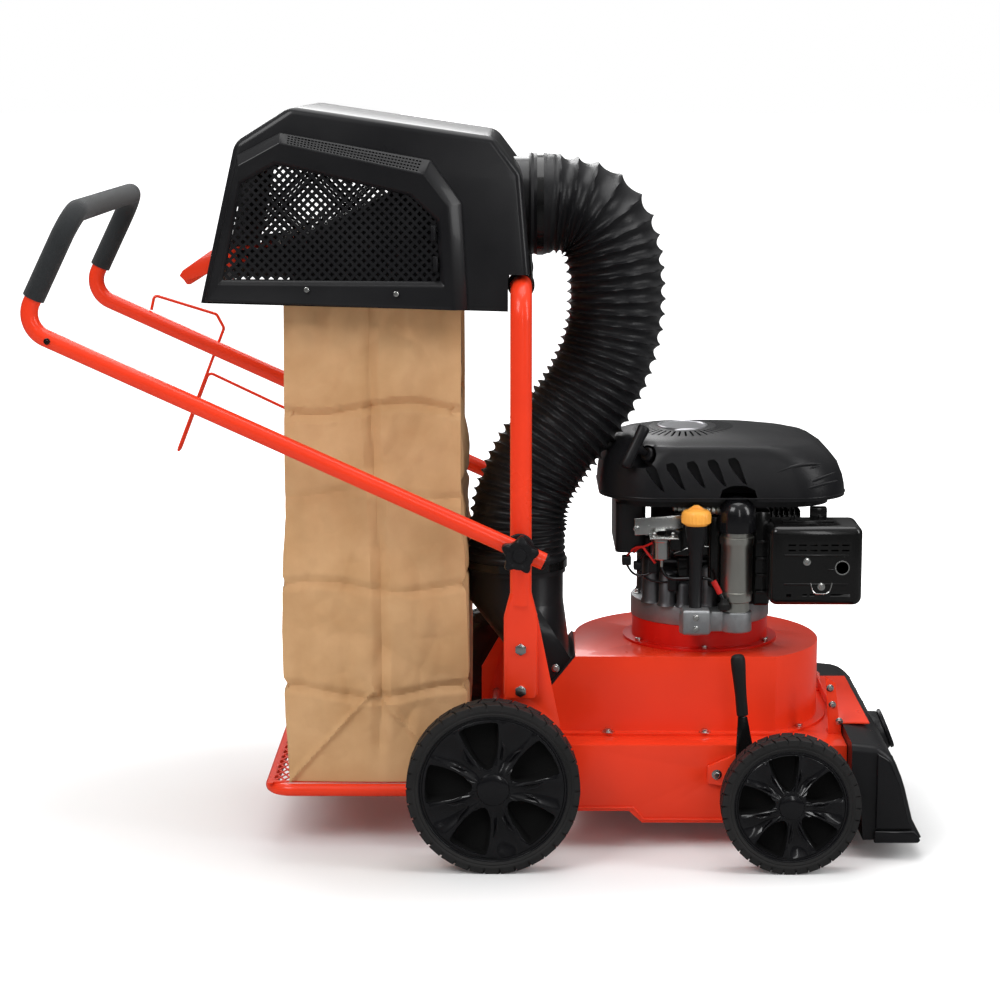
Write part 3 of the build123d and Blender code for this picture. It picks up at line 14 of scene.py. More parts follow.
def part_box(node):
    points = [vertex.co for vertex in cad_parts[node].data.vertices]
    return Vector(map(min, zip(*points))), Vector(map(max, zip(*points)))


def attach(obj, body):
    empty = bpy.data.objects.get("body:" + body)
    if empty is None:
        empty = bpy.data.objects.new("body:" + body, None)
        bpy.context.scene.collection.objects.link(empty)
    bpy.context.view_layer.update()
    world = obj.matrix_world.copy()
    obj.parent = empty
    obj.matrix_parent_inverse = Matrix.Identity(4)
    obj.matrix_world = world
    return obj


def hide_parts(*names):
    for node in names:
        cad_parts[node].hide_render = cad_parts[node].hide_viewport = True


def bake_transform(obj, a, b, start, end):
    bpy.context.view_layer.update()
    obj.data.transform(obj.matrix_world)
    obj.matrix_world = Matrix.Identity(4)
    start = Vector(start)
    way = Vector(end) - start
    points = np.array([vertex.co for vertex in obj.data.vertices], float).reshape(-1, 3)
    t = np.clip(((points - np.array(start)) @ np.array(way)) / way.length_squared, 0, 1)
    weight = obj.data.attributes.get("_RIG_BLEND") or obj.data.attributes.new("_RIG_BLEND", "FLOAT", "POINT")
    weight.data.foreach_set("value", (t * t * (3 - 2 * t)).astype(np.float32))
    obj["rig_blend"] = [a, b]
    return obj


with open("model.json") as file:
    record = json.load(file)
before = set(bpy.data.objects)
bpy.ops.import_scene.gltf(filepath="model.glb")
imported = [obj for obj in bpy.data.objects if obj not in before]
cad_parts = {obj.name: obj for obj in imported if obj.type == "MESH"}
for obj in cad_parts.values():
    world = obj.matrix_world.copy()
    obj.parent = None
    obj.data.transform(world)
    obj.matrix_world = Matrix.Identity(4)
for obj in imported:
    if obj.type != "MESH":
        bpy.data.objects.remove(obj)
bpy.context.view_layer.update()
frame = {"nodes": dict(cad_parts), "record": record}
MM = 0.001
SIDES = (("right", -1), ("left", 1))


def corners(node):
    """A CAD node's lowest and highest corners in millimetres."""
    low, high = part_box(node)
    return low / MM, high / MM


def middle(node):
    low, high = corners(node)
    return (low + high) / 2


# ---------------------------------------------------------------- mesh helpers
def link(name, data):
    piece = bpy.data.objects.new(name, data)
    bpy.context.scene.collection.objects.link(piece)
    return piece


def fix_normals(mesh):
    bm = bmesh.new()
    bm.from_mesh(mesh)
    bmesh.ops.recalc_face_normals(bm, faces=bm.faces)
    bm.to_mesh(mesh)
    bm.free()


def new_piece(name, points, faces):
    mesh = bpy.data.meshes.new(name)
    mesh.from_pydata([Vector(p) * MM for p in points], [], faces)
    fix_normals(mesh)
    return link(name, mesh)


def shade(piece, angle=32):
    piece.data.shade_smooth()
    piece.data.set_sharp_from_angle(angle=math.radians(angle))
    return piece


def apply(piece):
    graph = bpy.context.evaluated_depsgraph_get()
    mesh = bpy.data.meshes.new_from_object(piece.evaluated_get(graph))
    piece.modifiers.clear()
    piece.data = mesh
    return piece


def bevel(piece, width, segments=3, angle=30, chosen=None):
    """Rounds the sharp edges, or only those whose ends chosen(a, b) accepts, in millimetres."""
    modifier = piece.modifiers.new("bevel", "BEVEL")
    modifier.width = width * MM
    modifier.segments = segments
    modifier.miter_outer = "MITER_ARC"
    modifier.limit_method = "ANGLE"
    modifier.angle_limit = math.radians(angle)
    if chosen:
        modifier.limit_method = "WEIGHT"
        weights = piece.data.attributes.new("bevel_weight_edge", "FLOAT", "EDGE")
        points = [v.co / MM for v in piece.data.vertices]
        for edge in piece.data.edges:
            a, b = edge.vertices
            weights.data[edge.index].value = 1.0 if chosen(points[a], points[b]) else 0.0
    return shade(apply(piece))


def thicken(piece, wall):
    modifier = piece.modifiers.new("wall", "SOLIDIFY")
    modifier.thickness = wall * MM
    modifier.offset = -1
    modifier.use_even_offset = True
    return apply(piece)


def open_skin(piece, gone):
    """Takes away the faces that gone(normal, middle in millimetres) accepts."""
    bm = bmesh.new()
    bm.from_mesh(piece.data)
    chosen = [face for face in bm.faces if gone(face.normal, face.calc_center_median() / MM)]
    bmesh.ops.delete(bm, geom=chosen, context="FACES")
    bm.to_mesh(piece.data)
    bm.free()


def cut(piece, *tools, mode="DIFFERENCE"):
    for tool in tools:
        modifier = piece.modifiers.new("cut", "BOOLEAN")
        modifier.object = tool
        modifier.operation = mode
        modifier.solver = "EXACT"
    apply(piece)
    for tool in tools:
        bpy.data.objects.remove(tool)
    return piece


def join(name, *pieces):
    bm = bmesh.new()
    for piece in pieces:
        bm.from_mesh(piece.data)
    mesh = bpy.data.meshes.new(name)
    bm.to_mesh(mesh)
    bm.free()
    for piece in pieces:
        bpy.data.objects.remove(piece)
    return shade(link(name, mesh))


def loops(name, rings, capped=True, closed=False):
    """A skin over rings of equally many points."""
    count = len(rings[0])
    points = [p for ring in rings for p in ring]
    faces = []
    spans = len(rings) if closed else len(rings) - 1
    for r in range(spans):
        here, there = r * count, ((r + 1) % len(rings)) * count
        for i in range(count):
            j = (i + 1) % count
            faces.append((here + i, here + j, there + j, there + i))
    if capped and not closed:
        faces.append(tuple(range(count)))
        faces.append(tuple(range(len(points) - count, len(points))))
    return new_piece(name, points, faces)


def prism(name, outline, low, high, axis="Y"):
    """An outline of (x, z) run along Y, of (x, y) run along Z, or of (y, z) run along X."""
    place = {"Y": lambda p, t: (p[0], t, p[1]), "Z": lambda p, t: (p[0], p[1], t), "X": lambda p, t: (t, *p)}[axis]
    return loops(name, [[place(p, t) for p in outline] for t in (low, high)])


def box(name, low, high):
    return prism(name, [(low[0], low[1]), (high[0], low[1]), (high[0], high[1]), (low[0], high[1])],
                 low[2], high[2], axis="Z")


def frame_of(direction):
    axis = Vector(direction).normalized()
    side = axis.orthogonal().normalized()
    return axis, side, axis.cross(side)


def turned(name, base, direction, profile, segments=48, lobes=None):
    """A body of revolution: profile holds (distance along direction, radius)."""
    axis, side, up = frame_of(direction)
    base = Vector(base)
    rings = []
    for along, radius in profile:
        ring = []
        for i in range(segments):
            angle = 2 * math.pi * i / segments
            reach = radius * (lobes(angle, along) if lobes else 1.0)
            ring.append(base + axis * along + (side * math.cos(angle) + up * math.sin(angle)) * reach)
        rings.append(ring)
    return shade(loops(name, rings))


def swept(name, path, section, up_hint=(0, 0, 1)):
    """Rings of section(index, angle) radii around a path of points."""
    rings = []
    last = None
    for i, point in enumerate(path):
        ahead = path[min(i + 1, len(path) - 1)] - path[max(i - 1, 0)]
        axis = ahead.normalized()
        hint = Vector(up_hint) if abs(axis.dot(Vector(up_hint))) < 0.95 else Vector((0, 1, 0))
        side = (last - axis * last.dot(axis)).normalized() if last else axis.cross(hint).normalized()
        last = side
        up = axis.cross(side)
        ring = []
        for angle, radius in section(i):
            ring.append(point + (side * math.cos(angle) + up * math.sin(angle)) * radius)
        rings.append(ring)
    return shade(loops(name, rings))


def rounded(points, radii, step=6.0):
    """A polyline in millimetres with its corners turned to arcs, for bent tube and wire."""
    points = [Vector(p) for p in points]
    path = [points[0]]
    for i in range(1, len(points) - 1):
        corner = points[i]
        back = (points[i - 1] - corner).normalized()
        on = (points[i + 1] - corner).normalized()
        radius = radii[i - 1] if hasattr(radii, "__len__") else radii
        half = back.angle(on) / 2
        reach = radius / math.tan(half)
        centre = corner + (back + on).normalized() * (radius / math.sin(half))
        start, end = corner + back * reach, corner + on * reach
        count = max(4, int(radius * (math.pi - 2 * half) / step))
        a, b = start - centre, end - centre
        sweep = a.angle(b)
        for k in range(count + 1):
            share = k / count
            weight_a = math.sin((1 - share) * sweep) / math.sin(sweep)
            weight_b = math.sin(share * sweep) / math.sin(sweep)
            path.append(centre + a * weight_a + b * weight_b)
    path.append(points[-1])
    return path


def rod(name, points, radii, radius, sides=20):
    circle = [(2 * math.pi * k / sides, radius) for k in range(sides)]
    return swept(name, rounded(points, radii), lambda i: circle)


def hex_head(name, seat, direction, across, height):
    """A hex bolt head with its washer, standing on seat and facing direction."""
    washer = turned(name, seat, direction, [(0, across * 0.95), (1.0, across * 0.95), (1.2, across * 0.88)], 32)
    axis, side, up = frame_of(direction)
    rings = []
    for along, radius in ((1.0, across * 0.6), (height - 0.8, across * 0.6), (height, across * 0.5)):
        rings.append([Vector(seat) + axis * along + (side * math.cos(k * math.pi / 3)
                     + up * math.sin(k * math.pi / 3)) * radius for k in range(6)])
    head = loops(name, rings)
    return join(name, washer, head)


def refined(name, *nodes, width=1.0, segments=2):
    """A copy of CAD nodes with flat faces merged and every sharp edge softened."""
    pieces = []
    for node in nodes:
        mesh = frame["nodes"][node].data.copy()
        mesh.materials.clear()
        bm = bmesh.new()
        bm.from_mesh(mesh)
        bmesh.ops.remove_doubles(bm, verts=bm.verts, dist=0.02 * MM)
        bmesh.ops.dissolve_limit(bm, angle_limit=math.radians(1.5), verts=bm.verts, edges=bm.edges)
        bm.to_mesh(mesh)
        bm.free()
        for attribute in [a.name for a in mesh.attributes if a.name.startswith("custom")]:
            mesh.attributes.remove(mesh.attributes[attribute])
        pieces.append(link(name, mesh))
    piece = join(name, *pieces) if len(pieces) > 1 else pieces[0]
    piece.name = name
    bevel(piece, width, segments, angle=40)
    return replace(piece, *nodes)


NODE_BODY = {}
for body_name, members in frame["record"]["behaviour"]["bodies"].items():
    for member in members:
        NODE_BODY[member] = body_name
NODE_SLOT = {row["node"]: row["material_slot"] for row in frame["record"]["subparts"]}


def replace(piece, *nodes, blend=None):
    """The piece stands for CAD nodes, which are hidden; unless blend is given, it goes on their body."""
    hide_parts(*nodes)
    if not blend:
        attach(piece, NODE_BODY[nodes[0]])
    return piece


def extra(piece, body):
    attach(piece, body)
    return piece


def paint(piece, *materials):
    piece.data.materials.clear()
    for item in materials:
        piece.data.materials.append(item)
    return piece


# ---------------------------------------------------------------- materials
def tune(node, **settings):
    """Sets a shader node's inputs, whose names are written with _ for a space."""
    for name, value in settings.items():
        node.inputs[name.replace("_", " ")].default_value = value


def material(name, colour, roughness, other=None, patch=9.0, metallic=0.0, coat=0.0, rough_swing=0.08,
             bump=0.0, grain=900.0, detail=3.0, voronoi=False, sheen=0.0):
    """A noise-varied surface: two colours in patches, uneven roughness and a fine grain in the bump."""
    made = bpy.data.materials.new(name)
    made.use_nodes = True
    nodes, links = made.node_tree.nodes, made.node_tree.links
    shader = nodes["Principled BSDF"]
    place = nodes.new("ShaderNodeTexCoord")
    patches = nodes.new("ShaderNodeTexNoise")
    tune(patches, Scale=patch, Detail=4)
    links.new(place.outputs["Object"], patches.inputs["Vector"])
    blend = nodes.new("ShaderNodeMix")
    blend.data_type = "RGBA"
    tune(blend, A=(*colour, 1), B=(*(other or [c * 0.86 for c in colour]), 1))
    ramp = nodes.new("ShaderNodeMapRange")
    tune(ramp, From_Min=0.35, From_Max=0.65)
    links.new(patches.outputs["Fac"], ramp.inputs["Value"])
    links.new(ramp.outputs["Result"], blend.inputs["Factor"])
    fine = nodes.new("ShaderNodeTexVoronoi" if voronoi else "ShaderNodeTexNoise")
    tune(fine, Scale=grain)
    if not voronoi:
        tune(fine, Detail=detail)
    links.new(place.outputs["Object"], fine.inputs["Vector"])
    height = fine.outputs["Distance" if voronoi else "Fac"]
    links.new(blend.outputs["Result"], shader.inputs["Base Color"])
    uneven = nodes.new("ShaderNodeMapRange")
    tune(uneven, To_Min=max(0.03, roughness - rough_swing), To_Max=min(1.0, roughness + rough_swing))
    links.new(patches.outputs["Fac"], uneven.inputs["Value"])
    links.new(uneven.outputs["Result"], shader.inputs["Roughness"])
    if bump:
        relief = nodes.new("ShaderNodeBump")
        tune(relief, Strength=bump, Distance=0.0006)
        links.new(height, relief.inputs["Height"])
        links.new(relief.outputs["Normal"], shader.inputs["Normal"])
    tune(shader, Metallic=metallic, Coat_Weight=coat, Specular_IOR_Level=0.5 if metallic else 0.22,
         Coat_Roughness=0.06, Sheen_Weight=sheen)
    return made


RED = material("red_powder_coat", (0.84, 0.046, 0.013), 0.30, (0.80, 0.041, 0.011), coat=0.2, bump=0.05, grain=700)
DEEP_RED = material("deep_red_paint", (0.72, 0.012, 0.006), 0.3, coat=0.12, bump=0.05, grain=700)
HOOD_BLACK = material("hood_plastic", (0.008, 0.008, 0.009), 0.30, (0.011, 0.011, 0.012), coat=0.1, bump=0.05)
BLACK_PAINT = material("black_paint", (0.005, 0.005, 0.005), 0.2, coat=0.35, bump=0.04)
GLOSS_BLACK = material("gloss_black_plastic", (0.006, 0.006, 0.007), 0.2, coat=0.35, bump=0.03)
MOULDED = material("moulded_plastic", (0.007, 0.007, 0.008), 0.34, (0.010, 0.010, 0.011), bump=0.22, grain=1500)
TYRE = material("tyre_rubber", (0.012, 0.012, 0.012), 0.62, (0.019, 0.018, 0.018), bump=0.3, grain=500)
SOFT_GRIP = material("soft_rubber", (0.010, 0.010, 0.010), 0.5, bump=0.2, grain=600)
FOAM = material("foam_rubber", (0.015, 0.017, 0.018), 0.85, (0.022, 0.024, 0.026), bump=0.9, grain=900,
                voronoi=True, sheen=0.15)
HOSE = material("coated_fabric", (0.006, 0.006, 0.007), 0.36, (0.011, 0.011, 0.012), bump=0.5, grain=650, sheen=0.03)
ZINC = material("bright_zinc", (0.68, 0.68, 0.66), 0.25, (0.55, 0.56, 0.55), metallic=1.0, bump=0.08)
ALLOY = material("cast_alloy", (0.42, 0.43, 0.44), 0.46, (0.30, 0.31, 0.32), patch=30, metallic=0.85, bump=0.6,
                 grain=420)
# Near-black matte: painted shadow for the deep faces of the rim windows.
PAINTED_POCKET_SHADOW = material("painted_pocket_shadow", (0.002, 0.002, 0.002), 0.8, bump=0.02)
CASTING = material("dark_casting", (0.10, 0.10, 0.105), 0.42, (0.06, 0.06, 0.065), patch=30, metallic=0.7, bump=0.5,
                   grain=420)
SILVER = material("starter_can", (0.62, 0.62, 0.57), 0.3, (0.5, 0.5, 0.46), metallic=1.0, bump=0.06)
STEEL = material("plain_steel", (0.35, 0.35, 0.35), 0.35, metallic=1.0, bump=0.1)
AMBER = material("amber_plastic", (0.93, 0.42, 0.07), 0.4, (0.86, 0.36, 0.05), coat=0.2, bump=0.15)
ROPE = material("braided_rope", (0.03, 0.03, 0.03), 0.8, bump=0.8, grain=800)
BADGE = material("brushed_badge", (0.5, 0.5, 0.52), 0.3, (0.36, 0.36, 0.38), metallic=1.0, bump=0.1)
KRAFT = material("kraft_paper", (0.60, 0.36, 0.18), 0.72, (0.52, 0.30, 0.14), patch=14, bump=0.35, grain=260,
                 detail=6, rough_swing=0.06)

SLOT_LOOK = {"red_powder_coat": RED, "black_hood_plastic": HOOD_BLACK, "black_steel": BLACK_PAINT,
             "black_gloss_plastic": GLOSS_BLACK, "tyre_rubber": TYRE, "black_moulding": MOULDED,
             "soft_rubber": SOFT_GRIP, "foam": FOAM, "hose_fabric": HOSE, "rope": ROPE, "kraft_paper": KRAFT,
             "zinc": ZINC, "cast_aluminium": ALLOY, "starter_silver": SILVER, "steel": STEEL,
             "orange_plastic": AMBER}
for node_name, node in frame["nodes"].items():
    paint(node, SLOT_LOOK[NODE_SLOT[node_name]])


def add(piece, body, slot, look=None):
    """An extra piece on a body, in its slot's look unless it has another."""
    return paint(extra(piece, body), look or SLOT_LOOK[slot])


def fit(piece, node, look):
    """A piece that stands for one CAD node."""
    return paint(replace(piece, node), look)


# ---------------------------------------------------------------- camera, light and floor
scene = bpy.context.scene
scene.view_settings.view_transform = "Standard"
camera = bpy.data.cameras.new("camera")
camera.lens = 92.52
camera.sensor_width = 36.0
view = link("camera", camera)
view.location = (0.064905, -3.958018, 1.163747)
view.rotation_euler = (math.radians(80.415), 0, math.radians(0.44))
scene.camera = view

world = bpy.data.worlds.new("studio")
world.use_nodes = True
scene.world = world
sky, sky_links = world.node_tree.nodes, world.node_tree.links
direction = sky.new("ShaderNodeTexCoord")
split = sky.new("ShaderNodeSeparateXYZ")
sky_links.new(direction.outputs["Generated"], split.inputs["Vector"])
lift = sky.new("ShaderNodeMapRange")
tune(lift, From_Min=0.1, From_Max=0.9, To_Min=0.03, To_Max=0.62)
sky_links.new(split.outputs["Z"], lift.inputs["Value"])
eye = sky.new("ShaderNodeLightPath")
seen = sky.new("ShaderNodeMix")
sky_links.new(eye.outputs["Is Camera Ray"], seen.inputs["Factor"])
sky_links.new(lift.outputs["Result"], seen.inputs["A"])
tune(seen, B=1.0)
sky_links.new(seen.outputs["Result"], sky["Background"].inputs["Strength"])
tune(sky["Background"], Color=(1, 1, 1, 1))


def softbox(name, place, width, height, power):
    lamp = bpy.data.lights.new(name, "AREA")
    lamp.shape = "RECTANGLE"
    lamp.size = width
    lamp.size_y = height
    lamp.energy = power
    lit = link(name, lamp)
    lit.location = place
    lit.rotation_euler = (Vector((0, 0, 0.5)) - Vector(place)).to_track_quat("-Z", "Y").to_euler()


softbox("top_light", (0.2, 0.2, 3.4), 3.0, 2.2, 68)
softbox("key_light", (-1.6, -2.4, 2.8), 1.6, 1.6, 58)
softbox("right_light", (2.8, -1.2, 1.8), 0.8, 2.0, 34)
softbox("back_light", (-0.6, 2.8, 2.4), 2.0, 1.4, 45)
softbox("front_strip", (0.9, -3.2, 1.6), 0.35, 1.8, 10)

FLOOR_SIZE = 60.0
floor = new_piece("floor", [(x * FLOOR_SIZE / MM, y * FLOOR_SIZE / MM, 0)
                            for x, y in ((-1, -1), (1, -1), (1, 1), (-1, 1))], [(0, 1, 2, 3)])
floor_look = bpy.data.materials.new("floor")
floor_look.use_nodes = True
floor_nodes, floor_links = floor_look.node_tree.nodes, floor_look.node_tree.links
floor_shader = floor_nodes["Principled BSDF"]
tune(floor_shader, Base_Color=(0.8, 0.8, 0.8, 1), Roughness=0.9, Specular_IOR_Level=0.1, Emission_Color=(1, 1, 1, 1))
place = floor_nodes.new("ShaderNodeTexCoord")
stretch = floor_nodes.new("ShaderNodeVectorMath")
stretch.operation = "MULTIPLY"
stretch.inputs[1].default_value = (0.6, 1.0, 1.0)
floor_links.new(place.outputs["Object"], stretch.inputs[0])
away = floor_nodes.new("ShaderNodeVectorMath")
away.operation = "LENGTH"
floor_links.new(stretch.outputs["Vector"], away.inputs[0])
# The floor glows for camera rays only: barely near the machine, rising to white farther out.
glow = floor_nodes.new("ShaderNodeMapRange")
glow.interpolation_type = "SMOOTHSTEP"
tune(glow, From_Min=0.36, From_Max=1.05, To_Min=0.03, To_Max=1.1)
floor_links.new(away.outputs["Value"], glow.inputs["Value"])
watcher = floor_nodes.new("ShaderNodeLightPath")
shown = floor_nodes.new("ShaderNodeMix")
floor_links.new(watcher.outputs["Is Camera Ray"], shown.inputs["Factor"])
tune(shown, A=0.0)
floor_links.new(glow.outputs["Result"], shown.inputs["B"])
floor_links.new(shown.outputs["Result"], floor_shader.inputs["Emission Strength"])
# Painted reflection shade: in glossy reflections the floor shows dark grey 0.16 instead of its 0.8 grey.
reflected_floor_shade = floor_nodes.new("ShaderNodeMix")
reflected_floor_shade.data_type = "RGBA"
floor_links.new(watcher.outputs["Is Glossy Ray"], reflected_floor_shade.inputs["Factor"])
reflected_floor_shade.inputs[6].default_value = (0.8, 0.8, 0.8, 1)
reflected_floor_shade.inputs[7].default_value = (0.16, 0.16, 0.16, 1)
floor_links.new(reflected_floor_shade.outputs[2], floor_shader.inputs["Base Color"])
paint(floor, floor_look)


# ---------------------------------------------------------------- lattices
def clipped(outline, point, heading):
    """Where a line crosses a convex outline, as two distances along heading, or None."""
    low, high = -1e9, 1e9
    area = sum(a[0] * b[1] - b[0] * a[1] for a, b in zip(outline, outline[1:] + outline[:1]))
    turn = 1 if area > 0 else -1
    for a, b in zip(outline, outline[1:] + outline[:1]):
        normal = (-(b[1] - a[1]) * turn, (b[0] - a[0]) * turn)
        side = normal[0] * (point[0] - a[0]) + normal[1] * (point[1] - a[1])
        speed = normal[0] * heading[0] + normal[1] * heading[1]
        if abs(speed) < 1e-9:
            if side < 0:
                return None
        elif speed > 0:
            low = max(low, -side / speed)
        else:
            high = min(high, -side / speed)
    return (low, high) if high - low > 2 else None


def lattice(name, outline, pitch_u, pitch_v, strand, low, high, axis):
    """Crossed strands that leave diamond holes pitch_u by pitch_v, inside a convex outline."""
    us, vs = [p[0] for p in outline], [p[1] for p in outline]
    mid = ((min(us) + max(us)) / 2, (min(vs) + max(vs)) / 2)
    size = math.hypot(pitch_u, pitch_v)
    reach = int((max(us) - min(us)) / pitch_u + (max(vs) - min(vs)) / pitch_v) // 2 + 2
    bars = []
    for slope in (-1, 1):
        heading = (pitch_u / size, slope * pitch_v / size)
        across = (-heading[1], heading[0])
        for k in range(-reach, reach + 1):
            point = (mid[0] + k * pitch_u, mid[1])
            ends = clipped(outline, point, heading)
            if not ends:
                continue
            a = [point[i] + heading[i] * ends[0] for i in (0, 1)]
            b = [point[i] + heading[i] * ends[1] for i in (0, 1)]
            w = strand / 2
            path = [(a[0] - across[0] * w, a[1] - across[1] * w), (b[0] - across[0] * w, b[1] - across[1] * w),
                    (b[0] + across[0] * w, b[1] + across[1] * w), (a[0] + across[0] * w, a[1] + across[1] * w)]
            shift = 0.25 * slope
            bars.append(prism(name, path, low + shift, high + shift, axis))
    return join(name, *bars)


# ================================================================ hood
HOOD_LOW, HOOD_HIGH = corners("hood_shell")
HOOD_Y = HOOD_HIGH.y
HOOD_OUTLINE = [(HOOD_LOW.x, 825), (-345, 1056), (-264, HOOD_HIGH.z), (28, 1064), (68, 1011),
                (HOOD_HIGH.x, 866), (48, 866), (48, HOOD_LOW.z)]
HOOD_ROUND = 11.0
HOOD_WALL = 3.0
LATTICE_PITCH = 13.4
LATTICE_STRAND = 4.3
VENT_COLUMNS, VENT_ROWS = 40, 4
WINDOW = [(-363, 860), (-335, 997), (-284, 1024), (-93, 980), (-55, 944), (-50, 858)]
INLET_Z = middle("inlet_collar").z
INLET_RADIUS = (corners("inlet_collar")[1].y - corners("inlet_collar")[0].y) / 2

hood = prism("hood_skin", HOOD_OUTLINE, -HOOD_Y, HOOD_Y)
bevel(hood, HOOD_ROUND, 5, chosen=lambda a, b: max(a.z, b.z) > 870)
open_skin(hood, lambda normal, mid: (normal.z < -0.6 or (normal.x > 0.9 and mid.x < 60)) and mid.z < 870)
thicken(hood, HOOD_WALL)
window_tool = prism("tool", WINDOW, -HOOD_Y - 10, HOOD_Y + 10)
inlet_tool = turned("tool", (20, 0, INLET_Z), (1, 0, 0), [(0, INLET_RADIUS + 1), (100, INLET_RADIUS + 1)])
slot_tool = box("tool", (HOOD_LOW.x - 20, -22, 836), (HOOD_LOW.x + 42, 22, 960))
cut(hood, window_tool, inlet_tool, slot_tool)
shade(hood)
fit(hood, "hood_shell", HOOD_BLACK)

STEP = [(-391, 828), (-340, 1038), (-278, 1070), (-63, 1031), (-19, 970), (-10, 816)]
RIDGE = [(-389, 830), (-338, 1023), (-279, 1055), (-72, 1010), (-38, 966), (-28, 816)]
RIDGE_IN = [(-384, 833), (-334, 1019), (-278, 1050), (-75, 1006), (-42, 964), (-33, 820)]
WINDOW_RIM = [(-369, 853), (-340, 1000), (-286, 1031), (-90, 985), (-49, 948), (-43, 851)]
BEZEL_Y = corners("hood_window_left")[1].y


def between(a, b, share):
    return a + (b - a) * share


for side, sign in SIDES:
    stack = [(STEP, HOOD_Y - 1.5), (STEP, HOOD_Y + 3), (RIDGE, BEZEL_Y), (RIDGE_IN, BEZEL_Y - 1.2),
             (WINDOW_RIM, BEZEL_Y - 2.6), (WINDOW, BEZEL_Y - 9), (WINDOW, HOOD_Y - 1.5)]
    bezel = loops("hood_bezel_" + side, [[(x, sign * y, z) for x, z in ring] for ring, y in stack], closed=True)
    bevel(bezel, 1.6, 3, angle=18)
    corners_3d = [Vector((*STEP[2], HOOD_Y + 3)), Vector((*STEP[3], HOOD_Y + 3)),
                  Vector((*RIDGE[3], BEZEL_Y)), Vector((*RIDGE[2], BEZEL_Y))]
    corners_3d = [Vector((p.x, sign * p.z, p.y)) for p in corners_3d]
    tools = []
    along = (corners_3d[1] - corners_3d[0]).normalized()
    down = (corners_3d[3] - corners_3d[0]).normalized()
    normal = along.cross(down).normalized()
    for column in range(VENT_COLUMNS):
        for row in range(VENT_ROWS):
            u, v = 0.06 + 0.88 * column / (VENT_COLUMNS - 1), 0.2 + 0.6 * row / (VENT_ROWS - 1)
            spot = between(between(corners_3d[0], corners_3d[1], u), between(corners_3d[3], corners_3d[2], u), v)
            quad = [(-1.5, -1.1), (1.5, -1.1), (1.5, 1.1), (-1.5, 1.1)]
            tools.append(loops("tool", [[spot + along * a + down * b + normal * n for a, b in quad]
                                        for n in (-3, 3)]))
    cut(bezel, join("tool", *tools))
    shade(bezel, 30)
    fit(bezel, "hood_window_" + side, HOOD_BLACK)
    grid = lattice("hood_lattice_" + side, WINDOW, LATTICE_PITCH, LATTICE_PITCH, LATTICE_STRAND,
                   *sorted((sign * (HOOD_Y + 5), sign * (HOOD_Y + 7.5))), "Y")
    add(grid, "hood", "black_hood_plastic")
    for k, (low_z, high_z) in enumerate(((872, 894), (916, 938))):
        x = -60 - k * 3
        clip = box(f"hood_clip_{side}_{k}", (x, min(sign * (HOOD_Y + 6), sign * (BEZEL_Y - 1)), low_z),
                   (x + 7, max(sign * (HOOD_Y + 6), sign * (BEZEL_Y - 1)), high_z))
        add(bevel(clip, 1.2), "hood", "black_hood_plastic", MOULDED)

paint(refined("hood_hinge_plates", "hood_hinges", width=1.2), BLACK_PAINT)
paint(refined("hood_duct_box", "hood_duct", width=4, segments=3), MOULDED)
screws = refined("hood_screw_heads", "hood_screws", width=0.8)
paint(screws, ZINC)
lever = refined("bag_clamp_handle", "bag_clamp_lever", width=2.5, segments=3)
paint(lever, RED)
LEVER_END = corners("bag_clamp_lever")[0]
knob_end = turned("bag_clamp_end", (LEVER_END.x + 22, 0, 848), (-0.85, 0, -0.52),
                  [(-26, 8), (-22, 10), (0, 10.5), (14, 10.5), (18, 8)], 32)
add(knob_end, "clamp_lever", "red_powder_coat")

# springs that show through the lattice
for side, sign in SIDES:
    spring_path = []
    for k in range(121):
        t = k / 120
        a = 2 * math.pi * 12 * t
        spring_path.append(Vector((-300 + 60 * t, sign * 120 + 6 * math.cos(a), 905 + 30 * t + 6 * math.sin(a))))
    circle = [(2 * math.pi * k / 8, 1.0) for k in range(8)]
    coil = swept("clamp_spring_" + side, spring_path, lambda i: circle)
    add(coil, "hood", "zinc")


# ================================================================ duct hose
def nurbs(name, points):
    """A smooth NURBS line through the given control points, in millimetres, as a new object."""
    curve = bpy.data.curves.new(name, "CURVE")
    curve.dimensions = "3D"
    line = curve.splines.new("NURBS")
    line.points.add(len(points) - 1)
    for item, point in zip(line.points, points):
        item.co = (*(Vector(point) * MM), 1)
    line.order_u = 3
    line.use_endpoint_u = True
    return link(name, curve)


def spline_points(points):
    """Points along such a line, in millimetres."""
    holder = nurbs("route", points)
    holder.data.splines[0].resolution_u = 24
    mesh = bpy.data.meshes.new_from_object(holder.evaluated_get(bpy.context.evaluated_depsgraph_get()))
    found = [v.co / MM for v in mesh.vertices]
    bpy.data.objects.remove(holder)
    return found


def even(path, step):
    """The path again, with its points a step apart."""
    lengths = [0.0]
    for a, b in zip(path, path[1:]):
        lengths.append(lengths[-1] + (b - a).length)
    count = max(2, int(lengths[-1] / step))
    wanted = np.linspace(0, lengths[-1], count)
    table = np.array([list(p) for p in path])
    return [Vector([np.interp(w, lengths, table[:, i]) for i in range(3)]) for w in wanted], lengths[-1]


